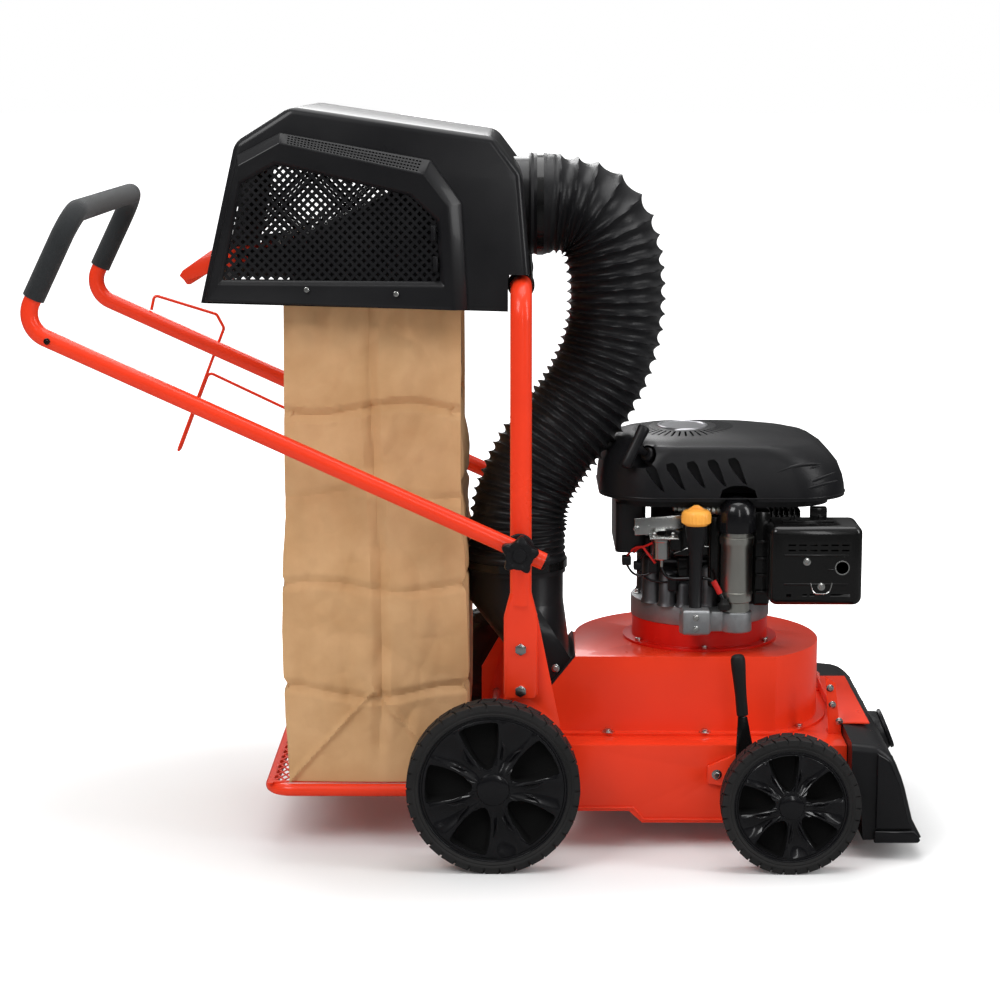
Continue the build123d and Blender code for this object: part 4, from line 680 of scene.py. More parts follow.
CHUTE_MID = middle("lower_hose_clamp")
HOSE_TOP = Vector((corners("upper_hose_clamp")[0].x, 0, INLET_Z))
HOSE_ROUTE = [HOSE_TOP, (140, 0, 958), (196, -2, 930), (216, -4, 845), (209, -8, 745), (168, -24, 655),
              (98, -46, 575), (CHUTE_MID.x + 3, CHUTE_MID.y, 500), (CHUTE_MID.x, CHUTE_MID.y, 440),
              (CHUTE_MID.x, CHUTE_MID.y, 396)]
HOSE_CREST = 78.0
HOSE_BARE = 76.0      # the fabric's radius at its cuffs
HOSE_SAG = 9.0
hose_path, hose_length = even(spline_points(HOSE_ROUTE), 1.6)
CUFF = 26.0
turns = []
phase = 0.0
for i in range(len(hose_path)):
    s = hose_length * i / (len(hose_path) - 1)
    share = s / hose_length
    pitch = 19.5 - 8.5 * max(0.0, min(1.0, (share - 0.35) / 0.5))
    phase += hose_length / (len(hose_path) - 1) / pitch
    turns.append((s, phase))


def hose_section(i):
    s, phase = turns[i]
    cuff = min(1.0, max(0.0, (s - CUFF) / 12), max(0.0, (hose_length - CUFF - s) / 12))
    ring = []
    for k in range(72):
        angle = 2 * math.pi * k / 72
        wave = abs(math.sin(math.pi * (phase - angle / (2 * math.pi))))
        creased = 1 + 0.25 * noise.noise(Vector((math.cos(angle) * 2, math.sin(angle) * 2, s / 22)))
        radius = HOSE_BARE + cuff * (HOSE_CREST - HOSE_BARE - HOSE_SAG * wave ** 0.62 * creased)
        radius += 0.5 * noise.noise(Vector((math.cos(angle) * 6, math.sin(angle) * 6, s / 6)))
        ring.append((angle, radius))
    return ring


hose = swept("ribbed_hose", hose_path, hose_section)
shade(hose, 60)
replace(hose, "duct_hose", blend=True)
paint(hose, HOSE)
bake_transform(hose, "hood", "chassis", start=(0.16, 0, 0.93), end=(0.08, -0.05, 0.46))
hood_cuff = turned("hose_clamp_band_top", (HOSE_TOP.x + 3, 0, INLET_Z), (1, 0, 0),
                   [(0, 76), (0, 78.4), (10, 78.4), (10, 76)], 72)
fit(hood_cuff, "upper_hose_clamp", BLACK_PAINT)
SLEEVE_START = 79.0    # just outside the hood's front wall
sleeve = turned("hose_sleeve", (SLEEVE_START, 0, INLET_Z), (1, 0, 0),
                [(0, INLET_RADIUS + 0.3), (0, 76.6), (3, 78.0), (7, 76.4), (12, 77.8), (17, 76.3), (22, 77.6),
                 (27, 76.4),
                 (HOSE_TOP.x + 3 - SLEEVE_START, 77.2), (HOSE_TOP.x + 3 - SLEEVE_START, INLET_RADIUS + 0.3)], 96)
add(sleeve, "hood", "hose_fabric")
low_cuff = turned("hose_clamp_band_low", (CHUTE_MID.x, CHUTE_MID.y, corners("lower_hose_clamp")[0].z), (0, 0, 1),
                  [(0, 76), (0, 78.6), (12, 78.6), (12, 76)], 72)
fit(low_cuff, "lower_hose_clamp", BLACK_PAINT)
clamp_screw = box("hose_clamp_screw", (CHUTE_MID.x - 8, CHUTE_MID.y - 90, CHUTE_MID.z - 7),
                  (CHUTE_MID.x + 12, CHUTE_MID.y - 76, CHUTE_MID.z + 7))
add(bevel(clamp_screw, 2), "chassis", "zinc")


# ================================================================ paper bag
BAG_LOW, BAG_HIGH = corners("paper_bag")
BAG_MID = (BAG_LOW + BAG_HIGH) / 2


def ridge(distance, width):
    return max(0.0, 1 - abs(distance) / width)


def crumple(p, seed):
    """Paper facets: a Voronoi-like field whose cells are nearly flat and meet in sharp folds."""
    q = Vector((p[0] / 95 + seed, p[1] / 95, p[2] / 150))
    distances, _ = noise.voronoi(q)
    r = Vector((p[0] / 38, p[1] / 38 + seed, p[2] / 52))
    small, _ = noise.voronoi(r)
    return (distances[1] - distances[0] - 0.3) * 14.0 + (small[1] - small[0] - 0.25) * 4.2


def bag_point(u, v):
    """u runs once round the bag, v from its foot to its mouth."""
    half_x, half_y = (BAG_HIGH.x - BAG_LOW.x) / 2 - 3, (BAG_HIGH.y - BAG_LOW.y) / 2 - 3
    perimeter = 4 * (half_x + half_y)
    d = u * perimeter
    sides = [((-half_x, -half_y), (1, 0), 2 * half_x), ((half_x, -half_y), (0, 1), 2 * half_y),
             ((half_x, half_y), (-1, 0), 2 * half_x), ((-half_x, half_y), (0, -1), 2 * half_y)]
    index = 0
    while index < 3 and d > sides[index][2]:
        d -= sides[index][2]
        index += 1
    start, heading, width = sides[index]
    x, y = start[0] + heading[0] * d, start[1] + heading[1] * d
    normal = (heading[1], -heading[0])
    share = d / width
    z = BAG_LOW.z + (BAG_HIGH.z - BAG_LOW.z) * v
    bulge = math.sin(math.pi * share) * (3.0 + 5.0 * math.sin(math.pi * min(1, v * 1.15)))
    fold = 0.0
    if index in (0, 2):
        fold -= 10.5 * ridge(share - 0.51 - 0.03 * math.sin(v * 5), 0.055) * min(1, v * 6)
        gusset = abs(share - 0.49) / 0.49 + v / 0.19
        fold += 6.5 * ridge(gusset - 1, 0.06)
    for level, depth, tilt in ((0.185, 7.0, 0.012), (0.40, 6.0, -0.01), (0.585, 4.5, 0.008), (0.755, 9.0, -0.012)):
        fold -= depth * ridge(v - level - tilt * math.sin(2 * math.pi * share + level * 9), 0.016)
    gather = max(0.0, (v - 0.78) / 0.22)
    fold += gather * 6.0 * math.sin(share * math.pi * (9 if index in (0, 2) else 13) + index) - gather * 7.5
    rough = crumple((x, y, z), 3.7 * index) * min(1.0, 8 * min(share, 1 - share) + 0.15) * min(1.0, v * 9)
    out = bulge + fold + rough
    if index == 1:
        out += 9.0 * math.sin(math.pi * min(1.0, v / 0.55)) - 8.0 * min(1.0, max(0.0, (v - 0.5) / 0.3))
    if index == 3:
        out += 8.0 * math.sin(math.pi * min(1.0, v / 0.6)) - 4.0 * min(1.0, max(0.0, (v - 0.55) / 0.3))
    limit = 3.0 if v > 0.97 else 9.5
    out = max(-17.0, min(limit, out))
    lean = 2.5 * math.sin(v * 7 + index)
    return (BAG_MID.x + x + normal[0] * out + lean * (v * (1 - v)) * 2, BAG_MID.y + y + normal[1] * out, z)


AROUND, UP = 360, 230
bag_rings = [[bag_point(i / AROUND, j / UP) for i in range(AROUND)] for j in range(UP + 1)]
foot = [[(BAG_MID.x + (p[0] - BAG_MID.x) * s, BAG_MID.y + (p[1] - BAG_MID.y) * s, BAG_LOW.z + 0.4)
         for p in bag_rings[0]] for s in (0.2, 0.9)]
bag = loops("kraft_bag", foot + bag_rings, capped=False)
closing = bmesh.new()
closing.from_mesh(bag.data)
rim_edges = [e for e in closing.edges if e.is_boundary and e.verts[0].co.z < (BAG_LOW.z + 5) * MM]
bmesh.ops.holes_fill(closing, edges=rim_edges, sides=0)
closing.to_mesh(bag.data)
closing.free()
shade(bag, 28)
fit(bag, "paper_bag", KRAFT)


# ================================================================ wheels
SPOKES = 5
TREAD_BLOCKS = 34
TREAD_SHARE = 0.86     # of the way round that is block, the rest being gap
TREAD_HEIGHT = 2.6
POCKET_DEPTH = 16     # faces deeper than this in a rim window get a near-black painted shadow
PETAL = [(0.27, 0.0), (0.29, 0.05), (0.38, 0.125), (0.52, 0.19), (0.68, 0.235), (0.82, 0.262), (0.86, 0.255),
         (0.885, 0.18), (0.90, 0.0)]


def petal(radius, turn, grow=1.0):
    """A wheel window's outline, as (across, along) points turned about the hub."""
    half = [(r * radius, w * radius * grow) for r, w in PETAL]
    outline = half + [(r, -w) for r, w in reversed(half[1:-1])]
    return [(r * math.cos(turn) - w * math.sin(turn), r * math.sin(turn) + w * math.cos(turn)) for r, w in outline]


def wheel(name, tyre_node, rim_node, sign, first_window):
    low, high = corners(tyre_node)
    hub = (low + high) / 2
    outer_y = high.y if sign > 0 else low.y
    radius = (high.z - low.z) / 2
    rim_low, rim_high = corners(rim_node)
    rim_radius = (rim_high.z - rim_low.z) / 2
    width = high.y - low.y
    body = NODE_BODY[tyre_node]

    def at(depth, r, angle):
        return (hub.x + r * math.cos(angle), outer_y - sign * depth, hub.z + r * math.sin(angle))

    # The rubber: a rounded carcass with sidewall rings, and two rows of staggered blocks.
    tread = radius - TREAD_HEIGHT
    half = [(2.5, rim_radius - 1.5), (1.2, rim_radius + 2.0), (1.8, rim_radius + 3.2), (1.0, rim_radius + 4.6),
            (0.5, rim_radius + 7.0), (1.0, tread - 5.0), (2.2, tread - 1.6), (4.5, tread)]
    profile = half + [(width - d, r) for d, r in reversed(half)]
    rings = [[at(d, r, 2 * math.pi * k / 120) for k in range(120)] for d, r in profile]
    parts = [shade(loops(name + "_rubber", rings, closed=True), 40)]
    for row, (d0, d1, lean) in enumerate(((0.3, width * 0.47, 0.5), (width * 0.53, width - 0.3, -0.5))):
        for k in range(TREAD_BLOCKS):
            start = 2 * math.pi * (k + 0.5 * row) / TREAD_BLOCKS
            size = 2 * math.pi / TREAD_BLOCKS * TREAD_SHARE
            tilt = size * lean * 0.5
            rows = []
            for r, inset in ((tread - 6, 0.0), (radius - 0.8, 0.3), (radius, 1.2)):
                ring = []
                for d, shift in ((d0 + inset, 0.0), (d1 - inset, tilt)):
                    for edge in (0, 1):
                        side = start + shift + (size * edge if d < (d0 + d1) / 2 else size * (1 - edge))
                        ring.append(at(d, r, side))
                rows.append(ring)
            parts.append(loops("block", rows))
    rubber = join(name + "_tyre", *parts)
    shade(rubber, 30)
    fit(rubber, tyre_node, TYRE)

    # The moulded rim: a dished disc with five sunk windows and ridged spokes between them.
    steps = [(3.0, rim_radius), (3.0, rim_radius - 3), (6.0, rim_radius - 4.5), (6.0, rim_radius - 6.5),
             (4.2, rim_radius - 8.0), (5.0, rim_radius * 0.86), (7.5, rim_radius * 0.72), (8.5, rim_radius * 0.56),
             (7.0, rim_radius * 0.42), (4.5, rim_radius * 0.32), (3.2, rim_radius * 0.25), (3.0, 0.5)]
    segments = 180
    front = []
    for d, r in steps:
        ring = []
        for k in range(segments):
            angle = 2 * math.pi * k / segments
            spoke = math.cos(SPOKES * (angle - first_window))
            ridge_mid = max(0.0, -spoke) ** 3
            lift = 0.0
            if rim_radius * 0.3 < r < rim_radius * 0.9:
                lift = 2.6 * max(0.0, 1 - abs(abs(spoke) - 0.35) / 0.35) - 2.8 * ridge_mid
            ring.append(at(d - lift, r, angle))
        front.append(ring)
    back = [[at(width - 6, r, 2 * math.pi * k / segments) for k in range(segments)]
            for r in (1.0, rim_radius * 0.9, rim_radius)]
    disc = loops(name + "_disc", back + front, capped=True)
    tools = []
    for k in range(SPOKES):
        turn = first_window + 2 * math.pi * k / SPOKES
        outline = [(hub.x + a, hub.z + b) for a, b in petal(rim_radius, turn)]
        tight = [(hub.x + a, hub.z + b) for a, b in petal(rim_radius * 0.985, turn, 0.82)]
        ys = (outer_y + sign * 6, outer_y - sign * 9, outer_y - sign * 27)
        tools.append(loops("tool", [[(x, y, z) for x, z in shape]
                                    for shape, y in ((outline, ys[0]), (outline, ys[1]), (tight, ys[2]))]))
    cut(disc, join("tool", *tools))
    bevel(disc, 0.9, 2, angle=38)
    shade(disc, 30)
    paint(replace(disc, rim_node), GLOSS_BLACK, PAINTED_POCKET_SHADOW)
    # Faces deep inside the windows take the second material, a near-black matte painted shadow.
    for face in disc.data.polygons:
        depth = abs(outer_y * MM - face.center.y)
        far = math.hypot(face.center.x - hub.x * MM, face.center.z - hub.z * MM)
        if depth > POCKET_DEPTH * MM and depth < (width - 7) * MM and far < rim_radius * 0.93 * MM:
            face.material_index = 1
    cap = turned(name + "_hub_cap", (hub.x, outer_y - sign * 4, hub.z), (0, sign, 0),
                 [(0, rim_radius * 0.22), (1.5, rim_radius * 0.218), (4.0, rim_radius * 0.205),
                  (5.6, rim_radius * 0.17), (6.4, rim_radius * 0.10), (6.6, 1.0)], 64)
    add(cap, body, "black_gloss_plastic")
    for k in range(SPOKES):
        turn = first_window + 2 * math.pi * (k + 0.5) / SPOKES
        for lean in (-0.12, 0.12):
            a = Vector(at(6.0, rim_radius * 0.40, turn + lean * 0.6))
            b = Vector(at(5.6, rim_radius * 0.56, turn + lean))
            c = Vector(at(5.2, rim_radius * 0.66, turn + lean * 1.9))
            path, _ = even([a, b, c], 3)
            rib = swept(f"{name}_rib_{k}_{'a' if lean < 0 else 'b'}", path,
                        lambda i, n=len(path): [(2 * math.pi * m / 10, 0.3 + 1.5 * math.sin(math.pi * i / (n - 1)))
                                                for m in range(10)])
            add(rib, body, "black_gloss_plastic")


for side, sign in SIDES:
    wheel("rear_" + side, "rear_tyre_" + side, "rear_rim_" + side, sign, math.radians(103))
    wheel("front_" + side, "front_tyre_" + side, "front_rim_" + side, sign, math.radians(100))


# ================================================================ frame, handle and tray
HOOP_LOW, HOOP_HIGH = corners("frame_hoop")
LEG_RADIUS = (HOOP_HIGH.z - 846)
LEG_X, LEG_Y = (HOOP_LOW.x + HOOP_HIGH.x) / 2, HOOP_HIGH.y - LEG_RADIUS
hoop_parts = [rod("hoop", [(LEG_X, -LEG_Y, 384), (LEG_X, -LEG_Y, 846), (LEG_X, LEG_Y, 846), (LEG_X, LEG_Y, 384)],
                  45, LEG_RADIUS, 36)]
for sign in (-1, 1):
    # The foot: the tube is pressed flat below the knob and widens to a bolted plate.
    rings = []
    for z, wide, thick in ((402, 15.9, 15.9), (388, 19.5, 12.5), (368, 24.5, 8.0), (352, 25.0, 7.0), (250, 25.0, 7.0),
                           (244, 21.0, 6.5)):
        ring = []
        for k in range(40):
            angle = 2 * math.pi * k / 40
            power = 1.0 if z > 395 else 0.45 if z < 370 else 0.7
            c, s = math.cos(angle), math.sin(angle)
            ring.append((LEG_X + wide * math.copysign(abs(c) ** power, c),
                         sign * LEG_Y + thick * math.copysign(abs(s) ** power, s), z))
        rings.append(ring)
    hoop_parts.append(loops("foot", rings))
hoop = join("frame_hoop_tube", *hoop_parts)
shade(hoop, 45)
fit(hoop, "frame_hoop", RED)
paint(refined("hoop_bolt_heads", "hoop_bolts", width=0.7), ZINC)
paint(refined("knob_saddle_rings", "knob_saddles", width=2.0, segments=3), MOULDED)

paint(frame["nodes"]["handle_tube"], RED)
shown_foam = refined("foam_sleeve", "foam_grip", width=2.4, segments=3)
shade(shown_foam, 50)
paint(shown_foam, FOAM)


def star(angle, along):
    return 1.0 + 0.17 * math.cos(5 * angle) + 0.03 * math.cos(10 * angle)


for side, sign in SIDES:
    low, high = corners("star_knob_" + side)
    mid = (low + high) / 2
    start = low.y if sign > 0 else high.y
    deep = high.y - low.y
    profile = [(0, 11), (2.0, 12), (2.2, 21), (4.5, 23.5), (deep - 7, 23.8), (deep - 3.5, 22.6), (deep - 2.0, 20.5),
               (deep - 1.6, 17), (deep - 2.8, 13.5), (deep - 2.6, 10.5), (deep - 0.4, 9.5), (deep - 0.1, 6),
               (deep, 1)]
    knob = turned("star_knob_" + side + "_moulded", (mid.x, start, mid.z), (0, sign, 0), profile, 100,
                  lambda angle, along: star(angle, along) if along > 2.1 and along < deep - 2.7 else 1.0)
    shade(knob, 45)
    fit(knob, "star_knob_" + side, MOULDED)
    screw = hex_head("tube_screw_" + side, (-610, sign * (296 + 12.4), 776), (0, sign, 0), 5, 4)
    add(screw, "handle", "zinc", BLACK_PAINT)
    plug = turned("handle_end_cap_" + side, (65 + 0.91 * 38, sign * 296, 471 - 0.414 * 38), (0.9104, 0, -0.4137),
                  [(0, 10), (1, 12.9), (3.5, 12.9), (5, 11.5), (5.4, 1)], 32)
    add(plug, "handle", "black_moulding")

mesh_low, mesh_high = corners("bag_tray_mesh")
tray_outline = [(mesh_low.x + 5, mesh_low.y + 14), (mesh_high.x, mesh_low.y + 14), (mesh_high.x, mesh_high.y - 14),
                (mesh_low.x + 5, mesh_high.y - 14)]
expanded = lattice("tray_expanded_mesh", tray_outline, 13.3, 29.0, 2.8, mesh_low.z + 0.3, mesh_high.z - 0.5, "Z")
skirt = []
for low, high in (((mesh_low.x, mesh_low.y + 2), (mesh_low.x + 8, mesh_high.y - 2)),
                  ((mesh_high.x - 5, mesh_low.y + 8), (mesh_high.x, mesh_high.y - 8))):
    skirt.append(box("strip", (*low, mesh_low.z), (*high, mesh_high.z - 0.3)))
for low_y in (mesh_low.y + 8, mesh_high.y - 15):
    skirt.append(box("strip", (mesh_low.x + 8, low_y, mesh_low.z), (mesh_high.x - 4, low_y + 7, mesh_high.z - 0.3)))
expanded = join("tray_mesh", expanded, *skirt)
shade(expanded, 30)
fit(expanded, "bag_tray_mesh", RED)
paint(refined("rear_side_plates", "rear_frame", width=1.4), RED)

# ================================================================ deck, scroll and chute
paint(refined("deck_body", "deck_housing", width=3.5, segments=3), RED)
paint(refined("scroll_cover", "volute_cover", width=4.5, segments=4), RED)
paint(refined("adapter_ring", "engine_adapter", width=2.5, segments=3), DEEP_RED)
paint(refined("deck_bolt_heads", "deck_bolts", width=0.6), ZINC)
paint(refined("chute_moulding", "discharge_chute", width=2.5, segments=3), HOOD_BLACK)
seat_low = corners("volute_cover")[0]
for x, y in ((200, seat_low.y + 6), (347, seat_low.y + 6)):
    washer = turned(f"flange_washer_{x}", (x, y, 164), (0, 0, 1), [(0, 9), (1.4, 9), (1.6, 8)], 28)
    add(washer, "chassis", "zinc")
for k, (x, z) in enumerate(((124, 264), (112, 226))):
    bolt = hex_head(f"chute_bolt_{k}", (x - 4, -150.6, z - 2), (0, -1, 0), 6.5, 5)
    add(bolt, "chassis", "zinc")
lip = []
for sign in (-1, 1):
    lip.append(prism("rail", [(128, 62), (236, 62), (252, 44), (556, 44), (556, 47), (253, 47), (237, 65), (128, 65)],
                     sign * 220.0, sign * 222.5))
rail = join("deck_lower_bead", *lip)
add(bevel(rail, 0.8), "chassis", "red_powder_coat")

# ================================================================ front: nozzle, bracket, carriage and lever
NOSE_LOW, NOSE_HIGH = corners("nozzle")
NOSE = [(557, 176), (598, 172), (620, 154), (636, 114), (650, 58), (NOSE_HIGH.x, 31), (576, NOSE_LOW.z),
        (573, 68), (557, 68)]
nose = prism("nozzle_skin", NOSE, NOSE_LOW.y, NOSE_HIGH.y)
bevel(nose, 12, 5, chosen=lambda a, b: max(a.z, b.z) > 100 and max(a.x, b.x) > 590 or
      (abs(a.y - b.y) < 1 and min(a.x, b.x) > 600))
open_skin(nose, lambda normal, mid: normal.z < -0.6 and mid.z < 60 and mid.x > 574)
thicken(nose, 3.5)
PORT_MID = Vector((642, 0, 129))
PORT_AXIS = Vector((0.93, 0, 0.37)).normalized()
boss = turned("tool", PORT_MID - PORT_AXIS * 26, PORT_AXIS, [(0, 38), (16, 34), (24, 30.5), (25.5, 29.5),
                                                             (25.5, 26.5), (4, 26.5)],
              64)
cut(nose, boss, mode="UNION")
shade(nose, 34)
fit(nose, "nozzle", MOULDED)
for k, y in enumerate((-252, -168, -84, 84, 168, 252)):
    rib = loops(f"nozzle_rib_{k}", [[(x - 1.2, y + w * s, z) for x, z in
                                     ((600, 171), (621, 153), (637, 113), (651, 57), (661, 36), (656, 36), (646, 57),
                                      (630, 113), (614, 150), (598, 168))] for s, w in ((-1, 2.2), (1, 2.2))])
    add(bevel(rib, 1.0), "chassis", "black_hood_plastic", MOULDED)
port = turned("port_cap_moulded", PORT_MID, PORT_AXIS, [(0.2, 26), (0.2, 32), (4.6, 32), (6, 30), (6, 24),
                                                        (4.2, 22.5),
                                                        (4.2, 7), (6, 6), (6, 1)], 72)
fit(port, "port_cap", MOULDED)

for sign in (-1, 1):
    side = "right" if sign < 0 else "left"
    end_y = NOSE_LOW.y if sign < 0 else NOSE_HIGH.y
    panel = prism("nozzle_end_" + side, [(594, 163), (612, 152), (630, 112), (643, 58), (650, 46), (594, 46)],
                  *sorted((end_y - sign * 1.0, end_y + sign * 4.0)))
    add(bevel(panel, 3.0, 4), "chassis", "black_moulding", GLOSS_BLACK)
    foot = prism("nozzle_foot_" + side, [(592, 44), (652, 44), (661, 30), (657, 26), (592, 26)],
                 *sorted((end_y - sign * 1.0, end_y + sign * 7.0)))
    add(bevel(foot, 2.0, 3), "chassis", "black_moulding", GLOSS_BLACK)
paint(refined("nozzle_bracket_plates", "nozzle_bracket", width=1.0), RED)
for sign in (-1, 1):
    for k, (x, z) in enumerate(((537, 232), (541, 206), (552, 180))):
        bolt = hex_head(f"bracket_bolt_{'r' if sign < 0 else 'l'}_{k}", (x, sign * 152.2, z), (0, sign, 0), 6, 4.5)
        add(bolt, "chassis", "zinc")
paint(refined("front_arms", "front_carriage", width=1.6, segments=3), RED)
paint(refined("lever_bar", "height_lever", width=1.0), BLACK_PAINT)
grip_low, grip_high = corners("lever_grip")
GRIP_FOOT = Vector((398, (grip_low.y + grip_high.y) / 2, grip_low.z + 1))
GRIP_AXIS = (Vector((389, GRIP_FOOT.y, 301)) - GRIP_FOOT).normalized()
grip = turned("height_grip", GRIP_FOOT, GRIP_AXIS,
              [(0, 7), (1, 8.6), (10, 8.8), (30, 8.6), (50, 9.4), (74, 10.8), (86, 10.9), (91, 9.2), (93, 6),
               (93.4, 1)],
              40, lambda angle, along: 1 + 0.05 * math.cos(angle * 2))
fit(grip, "lever_grip", SOFT_GRIP)
for sign in (-1, 1):
    pin = hex_head("arm_pivot_bolt_" + ("right" if sign < 0 else "left"), (361, sign * 227.2, 117), (0, sign, 0), 8,
                   6)
    add(pin, "carriage", "zinc")


# ================================================================ engine
COVER_LOW, COVER_HIGH = corners("engine_cover")


def round_box(x0, x1, half_y, corner, z, count=160):
    """A rounded rectangle's outline at height z, with equally many points at every size."""
    mid = (x0 + x1) / 2
    half_x = (x1 - x0) / 2
    corner = min(corner, half_x - 0.5, half_y - 0.5)
    points = []
    for k in range(count):
        angle = 2 * math.pi * (k + 0.5) / count
        c, s = math.cos(angle), math.sin(angle)
        px, py = math.copysign(half_x - corner, c), math.copysign(half_y - corner, s)
        points.append((mid + px + corner * c, py + corner * s, z))
    return points


LEFT, RIGHT, HALF = COVER_LOW.x, COVER_HIGH.x, COVER_HIGH.y
COVER_FOOT = COVER_LOW.z
# How far each ring comes in at the rear, front and sides, its corner radius and its height over the foot.
COVER_RINGS = [
    (6, 6, 6, 84, 6), (5, 5, 5, 85, 0.5), (0, 0, 0, 90, 0), (0, 0, 0, 90, 5),
    (0.5, 1, 0.5, 90, 16), (2, 4, 1.5, 90, 30), (7, 12, 4, 90, 50), (14, 27, 8, 90, 66),
    (24, 45, 13, 88, 78), (29, 52, 16, 86, 81), (36, 62, 24, 84, 83), (40, 70, 30, 80, 85.5),
    (58, 100, 50, 78, 90.5), (80, 140, 78, 68, 94.5), (100, 180, 105, 44, 96), (125, 225, 135, 14, 96.5),
]
cover_rings = [round_box(LEFT + rear, RIGHT - front, HALF - side, corner, COVER_FOOT + up)
               for rear, front, side, corner, up in COVER_RINGS]
cover = loops("engine_hood", cover_rings)
tools = []
for sign in (-1, 1):
    for k in range(5):
        x = 258 + 31 * k
        z = 570 + 2.6 * k
        leaf = [(x - 4, z + 2), (x + 6, z + 4), (x + 12, z - 2), (x + 16, z - 13), (x + 23, z - 32), (x + 25, z - 37),
                (x + 19, z - 34), (x + 7, z - 20), (x - 3, z - 6)]
        tools.append(prism("tool", leaf, min(sign * (HALF - 20), sign * (HALF + 4)),
                           max(sign * (HALF - 20), sign * (HALF + 4))))
GRILLE_SLOTS = 44
BADGE_X = 318
for k in range(GRILLE_SLOTS):
    angle = 2 * math.pi * k / GRILLE_SLOTS
    a, b = Vector((BADGE_X + 52 * math.cos(angle), 64 * math.sin(angle),
                   0)), Vector((BADGE_X + 78 * math.cos(angle), 92 * math.sin(angle), 0))
    along = (b - a).normalized()
    across = Vector((-along.y, along.x, 0)) * 1.6
    tools.append(loops("tool", [[a - across + Vector((0, 0, z)), b - across + Vector((0, 0, z)),
                                 b + across + Vector((0, 0, z)), a + across + Vector((0, 0, z))]
                                for z in (COVER_FOOT + 87, COVER_FOOT + 104)]))
cut(cover, join("tool", *tools))
STARTER_MID = middle("starter_motor")
dome_notch = turned("tool", (STARTER_MID.x, STARTER_MID.y, COVER_FOOT - 20), (0, 0, 1),
                    [(0, 33), (28, 33), (38, 30), (44, 20), (47, 2)], 48)
port_tool = turned("tool", (240, -146, 592), (0.62, 0.72, -0.3), [(0, 26), (26, 18), (40, 14)], 40)
cut(cover, dome_notch, port_tool)
shade(cover, 24)
fit(cover, "engine_cover", MOULDED)
rope_seat = turned("rope_bush", (259, -120, 585), (-0.6, -0.7, 0.35), [(0, 6), (0, 11), (4, 11), (6, 9), (6, 5)], 36)
add(rope_seat, "chassis", "black_moulding")
for sign in (-1, 1):
    tag = "right" if sign < 0 else "left"
    for k, (a, mid, b, size) in enumerate((((436, 556), (480, 577), (520, 573), 3.0),
                                           ((436, 555), (482, 562), (520, 571), 2.0),
                                           ((440, 527), (490, 542), (540, 560), 3.2),
                                           ((470, 530), (505, 540), (545, 548), 2.2))):
        path, _ = even(spline_points([(a[0], sign * (HALF - 4.5), a[1]), (mid[0], sign * (HALF - 5.0), mid[1]),
                                      (b[0], sign * (HALF - 22), b[1])]), 3)
        crest = swept(f"cover_crest_{tag}_{k}", path, lambda i, n=len(path), r=size: [
            (2 * math.pi * m / 12, 0.4 + r * math.sin(math.pi * i / (n - 1))) for m in range(12)])
        add(crest, "chassis", "black_moulding")
bead_path = [Vector(p) for p in round_box(LEFT - 0.2, RIGHT + 0.2, HALF + 0.2, 90, COVER_FOOT + 5, 200)]
circle_small = [(2 * math.pi * k / 8, 1.1) for k in range(8)]
bead = swept("cover_bead", bead_path + bead_path[:2], lambda i: circle_small)
add(bead, "chassis", "black_moulding")
badge = turned("oval_badge", (BADGE_X, 0, COVER_HIGH.z - 2.6), (0, 0, 1),
               [(0, 1.0), (3.4, 1.0), (5.0, 0.95), (5.0, 0.86), (4.2, 0.84), (4.2, 0.02)], 72)
BADGE_HALF_LENGTH, BADGE_HALF_WIDTH = 40, 53
for vertex in badge.data.vertices:
    vertex.co.x = BADGE_X * MM + (vertex.co.x - BADGE_X * MM) * BADGE_HALF_LENGTH
    vertex.co.y *= BADGE_HALF_WIDTH
fit(badge, "cover_badge", BADGE)

paint(refined("shroud_body", "engine_shroud", width=7, segments=4), MOULDED)
paint(refined("alloy_base", "engine_sump", width=2.5, segments=3), ALLOY)
paint(refined("crankcase_casting", "crankcase", width=4, segments=3), CASTING)
paint(refined("cylinder_fins", "cylinder_block", width=0.8), BLACK_PAINT)
paint(refined("impeller_plate", "impeller", width=1.0), STEEL)
paint(frame["nodes"]["crankshaft"], STEEL)
paint(frame["nodes"]["rear_axle"], ZINC)

# base flange bolts, ribs and bosses round the crankcase
for k in range(9):
    angle = math.radians(20 + 40 * k)
    spot = (348 + 98 * math.cos(angle), 98 * math.sin(angle), 348)
    if math.hypot(spot[0] - 394, spot[1] + 132) > 36:
        add(hex_head(f"base_bolt_{k}", spot, (0, 0, 1), 6, 6), "chassis", "zinc")
bosses = []
for k, (x, y, r, z) in enumerate(((292, -86, 13, 402), (316, -96, 10, 385), (270, -60, 15, 420), (356, -92, 12, 410),
                                  (300, 80, 14, 430), (370, 92, 18, 440), (266, 30, 16, 436), (418, -66, 12, 430))):
    bosses.append(turned("boss", (x, y, 347), (0, 0, 1), [(0, r + 3), (6, r), (z - 352, r), (z - 349, r - 2),
                                                          (z - 347, r - 5), (z - 347, 1)], 32))
for k in range(6):
    z = 366 + 16 * k
    bosses.append(box("web", (284, -92 + 3 * (k % 2), z), (352, -40, z + 3.0)))
case_details = join("crankcase_bosses", *bosses)
shade(case_details, 35)
add(case_details, "chassis", "cast_aluminium", CASTING)
clutter = join("engine_brackets", bevel(box("a", (300, -108, 426), (366, -70, 496)), 4),
               bevel(box("b", (286, -116, 436), (314, -96, 470)), 3),
               bevel(box("c", (352, -118, 380), (372, -86, 492)), 5),
               bevel(box("d", (420, -118, 352), (446, -70, 500)), 5),
               bevel(box("e", (306, -100, 392), (340, -84, 424)), 4))
add(clutter, "chassis", "black_steel")
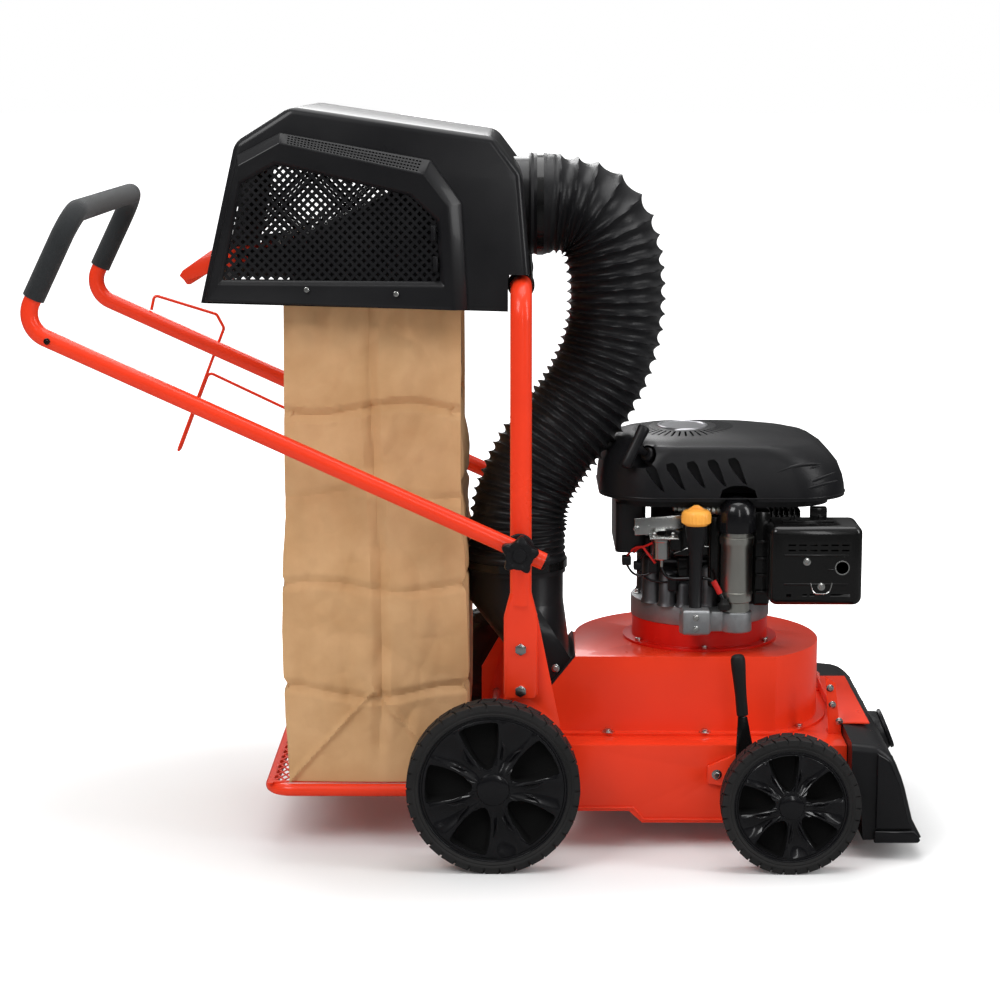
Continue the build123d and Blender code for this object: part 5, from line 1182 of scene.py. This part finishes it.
for k in range(4):
    fin = box(f"side_fin_{k}", (424, -124, 372 + 26 * k), (444, -74, 376 + 26 * k))
    add(bevel(fin, 0.8), "chassis", "black_steel")

# oil filler: an amber cap with a tab on a black funnel
oil_low = corners("oil_cap")[0]
OIL = middle("oil_filler_tube")
tube_low, tube_high = corners("oil_filler_tube")
funnel = turned("filler_neck", (OIL.x, OIL.y, tube_low.z), (0, 0, 1),
                [(0, 12), (4, 9.5), (70, 9.5), (96, 11), (112, 15.5), (128, 16.5), (tube_high.z - tube_low.z, 16.5)],
                40)
fit(funnel, "oil_filler_tube", MOULDED)
cap = turned("oil_cap_amber", (OIL.x, OIL.y, tube_high.z + 0.4), (0, 0, 1),
             [(0, 17), (2, 19), (4, 21.8), (14, 22.4), (19, 21.6), (22.5, 18.5), (24, 12), (24.4, 1)], 96,
             lambda angle, along: 1 + (0.022 * math.cos(24 * angle) if 3 < along < 18 else 0))
tab = loops("tab", [[(OIL.x + x * w, OIL.y + y, oil_low.z + z) for x,
                     y in ((-1, -2.4), (1, -2.4), (1, 2.4), (-1, 2.4))]
                    for z, w in ((33, 15), (37, 12), (41, 6), (43, 3))])
cap = join("oil_cap_amber", cap, bevel(tab, 1.0, 3))
fit(cap, "oil_cap", AMBER)
foot_block = bevel(box("oil_boss", (OIL.x - 21, OIL.y - 26, 318), (OIL.x + 21, OIL.y + 16, 356)), 4, 4)
add(foot_block, "chassis", "cast_aluminium")
for k, z in enumerate((328, 345)):
    add(hex_head(f"boss_bolt_{k}", (OIL.x, OIL.y - 26, z), (0, -1, 0), 5, 4), "chassis", "zinc")

# starter: silver can, black dome and the ribbed pipe behind the cap
low, high = corners("starter_motor")
can = turned("starter_can", (STARTER_MID.x, STARTER_MID.y, low.z), (0, 0, 1),
             [(0, 20), (14, 20), (16, 23), (22, 23.6), (27, 23.6), (27.5, 24.6), (30, 24.6), (30.5, 23.8),
              (100, 23.8), (103, 25.5),
              (108, 26), (114, 26), (116, 24), (high.z - low.z, 24)], 64)
fit(can, "starter_motor", SILVER)
dome_low = corners("starter_dome")[0]
dome = turned("starter_dome_moulded", (STARTER_MID.x, STARTER_MID.y, dome_low.z), (0, 0, 1),
              [(0, 26), (0.5, 28), (8, 28.6), (26, 28.6), (36, 27), (44, 22.5), (50, 15), (53.5, 6), (54, 1)], 64)
fit(dome, "starter_dome", GLOSS_BLACK)
pipe_path, _ = even([Vector((STARTER_MID.x - 20, STARTER_MID.y + 6, 500)), Vector((OIL.x + 4, OIL.y + 30, 502)),
                     Vector((300, -96, 500))], 1.5)
ribs = swept("breather_pipe", pipe_path, lambda i: [(2 * math.pi * m / 24,
                                                     6.2 + 0.8 * math.sin(i * 1.3)) for m in range(24)])
add(ribs, "chassis", "starter_silver")

# solenoid, its bracket, plugs and wires
SOL = (281, -124)
plate = prism("solenoid_plate", [(240, 460), (268, 461), (276, 466), (300, 467), (313, 472), (317, 484), (317, 492),
                                 (240, 486)], -112, -109.5)
foot_plate = bevel(box("ledge", (262, -140, 458), (306, -110, 461)), 1)
solenoid = turned("solenoid", (SOL[0], SOL[1], 426), (0, 0, 1),
                  [(0, 12.5), (1.5, 14), (27, 14), (28, 14.8), (31, 14.8), (32, 13)], 48)
stud = turned("stud", (SOL[0], SOL[1], 414), (0, 0, 1), [(0, 3), (12, 3), (12, 6), (13, 6)], 20)
electrics = join("solenoid_set", bevel(plate, 0.8), foot_plate, solenoid, stud,
                 hex_head("n", (270, -127, 461), (0, 0, 1), 6, 6),
                 hex_head("n", (298, -127, 461), (0, 0, 1), 6, 6),
                 hex_head("n", (243, -112.4, 470), (0, -1, 0), 5, 5))
shade(electrics, 32)
fit(electrics, "starter_electrics", ZINC)
plugs = join("wire_plugs", bevel(box("p", (222, -96, 410), (236, -76, 424)), 2),
             bevel(box("p", (240, -92, 402), (252, -74, 414)), 2),
             bevel(box("p", (262, -106, 400), (276, -90, 420)), 2),
             bevel(box("p", (292, -108, 372), (306, -92, 396)), 3))
add(plugs, "chassis", "black_moulding")
RED_WIRE = material("red_wire", (0.5, 0.015, 0.012), 0.4, bump=0.05)


def wire(name, points, radius, look):
    """A short lead fixed at both ends: a smooth NURBS line with a round section."""
    lead = nurbs(name, points)
    lead.data.bevel_depth = radius * MM
    lead.data.bevel_resolution = 4
    lead.data.use_fill_caps = True
    lead.data.materials.append(look)
    return extra(lead, "chassis")


wire("starter_lead", [(281, -124, 414), (284, -128, 396), (318, -136, 398), (352, -146, 402), (366, -150, 384),
                      (374, -150, 366)], 2.6, GLOSS_BLACK)
wire("starter_lead_boot", [(358, -149, 397), (364, -150, 386), (368, -150, 378)], 4.4, RED_WIRE)
wire("plug_lead_red_a", [(240, -92, 430), (250, -104, 446), (262, -114, 430), (272, -118, 418)], 2.0, RED_WIRE)
wire("plug_lead_red_b", [(230, -88, 424), (240, -98, 440), (254, -108, 440), (270, -122, 452)], 1.8, RED_WIRE)
wire("plug_lead_black_a", [(246, -84, 414), (256, -96, 430), (266, -104, 452), (262, -100, 470)], 2.2, GLOSS_BLACK)
wire("plug_lead_black_b", [(229, -86, 412), (236, -92, 396), (256, -98, 394), (272, -98, 402)], 1.8, GLOSS_BLACK)
wire("plug_lead_black_c", [(244, -84, 404), (258, -92, 388), (282, -98, 384), (298, -100, 386)], 1.8, GLOSS_BLACK)
wire("governor_rod", [(300, -110, 432), (330, -114, 446), (372, -112, 440), (424, -110, 452)], 1.2, ZINC)
lead_end = turned("lead_terminal", (374, -152, 352), (0, 0, 1), [(0, 7), (2, 9), (10, 9), (13, 6), (18, 5)], 28)
add(lead_end, "chassis", "black_moulding", SOFT_GRIP)

# muffler and its pressed guard
paint(refined("muffler_can", "muffler", width=3, segments=3), BLACK_PAINT)
mg_low, mg_high = corners("muffler_guard")
guard = box("muffler_guard_pressed", mg_low, (mg_high.x, mg_high.y, mg_high.z))
bevel(guard, 13, 6, chosen=lambda a, b: min(a.y, b.y) < mg_low.y + 1 or abs(a.y - b.y) > 10)
open_skin(guard, lambda normal, mid: normal.y > 0.95)
thicken(guard, 2.0)
face_y = mg_low.y
tools = [turned("tool", (mg_high.x - 31, face_y - 5, mg_low.z + 59), (0, 1, 0), [(0, 8.5), (12, 8.5)], 32)]
for x, w in ((26, 7), (50, 7), (61, 7), (92, 30)):
    tools.append(box("tool", (mg_low.x + x, face_y - 5, mg_low.z + 14),
                     (mg_low.x + x + w, face_y + 5, mg_low.z + 18.5)))
for row, z in enumerate((92, 84)):
    for k in range(6):
        x = mg_low.x + 28 + 16 * k
        tools.append(box("tool", (x, face_y - 5, mg_low.z + z), (x + 11, face_y + 5, mg_low.z + z + 2.4)))
cut(guard, join("tool", *tools))
shade(guard, 32)
pressed = []
for z, x0, x1 in ((76, 22, 118), (32, 22, 118), (54, 88, 100)):
    bar = box("bar", (mg_low.x + x0, face_y - 1.0, mg_low.z + z), (mg_low.x + x1, face_y + 1.5, mg_low.z + z + 3))
    pressed.append(bevel(bar, 0.9, 3))
guard = join("muffler_guard_pressed", guard, *pressed)
shade(guard, 32)
fit(guard, "muffler_guard", BLACK_PAINT)
ring = turned("muffler_outlet", (mg_high.x - 31, face_y - 1.0, mg_low.z + 59), (0, 1, 0),
              [(0, 9.4), (0, 11), (3, 11), (22, 10), (22, 8.6), (3, 8.6), (0, 9.4)], 40)
add(ring, "chassis", "zinc")
for k, (x, z) in enumerate(((56, 68), (78, 30))):
    add(hex_head(f"guard_bolt_{k}", (mg_low.x + x, face_y - 0.2, mg_low.z + z), (0, -1, 0), 6, 2.0), "chassis",
        "zinc")
arc = rod("guard_arc", [(mg_low.x + 62, face_y - 0.6, mg_low.z + 36), (mg_low.x + 66, face_y - 0.6, mg_low.z + 19),
                        (mg_low.x + 90, face_y - 0.6, mg_low.z + 19), (mg_low.x + 94, face_y - 0.6, mg_low.z + 36)],
                        9, 1.0, 10)
add(arc, "chassis", "zinc")
stay = join("muffler_stay", bevel(box("s", (462, -140, 484), (540, -120, 488)), 1),
            bevel(box("s", (505, -128, 486), (530, -112, 506)), 2),
            hex_head("s", (520, -132, 488), (0, 0, 1), 6, 6), hex_head("s", (478, -132, 488), (0, 0, 1), 6, 6))
add(stay, "chassis", "black_steel")

# recoil grip: a T with a waisted bar and a stem
GRIP = middle("starter_grip")
PULL = Vector((-0.5, -0.75, 0.433)).normalized()
BAR = Vector((0.28, 0, 0.96))
BAR = (BAR - PULL * BAR.dot(PULL)).normalized()
pull_bar = turned("pull_bar", GRIP - BAR * 35, BAR, [(0, 5), (1.5, 7.8), (5, 9.2), (20, 8.6), (35, 8.2), (50, 8.6),
                                                     (65, 9.4), (68.5, 8), (70, 5)], 40,
                  lambda angle, along: 1 + 0.06 * math.cos(2 * angle))
MOUTH = Vector((262, -117, 583))
stem_axis = (MOUTH - GRIP).normalized()
stem = turned("pull_stem", GRIP, stem_axis, [(0, 8), (8, 7.4), (18, 5.2), (25, 4.2), (27, 3)], 32)
pull = join("recoil_grip", pull_bar, stem)
shade(pull, 40)
fit(pull, "starter_grip", MOULDED)
paint(frame["nodes"]["starter_rope"], ROPE)
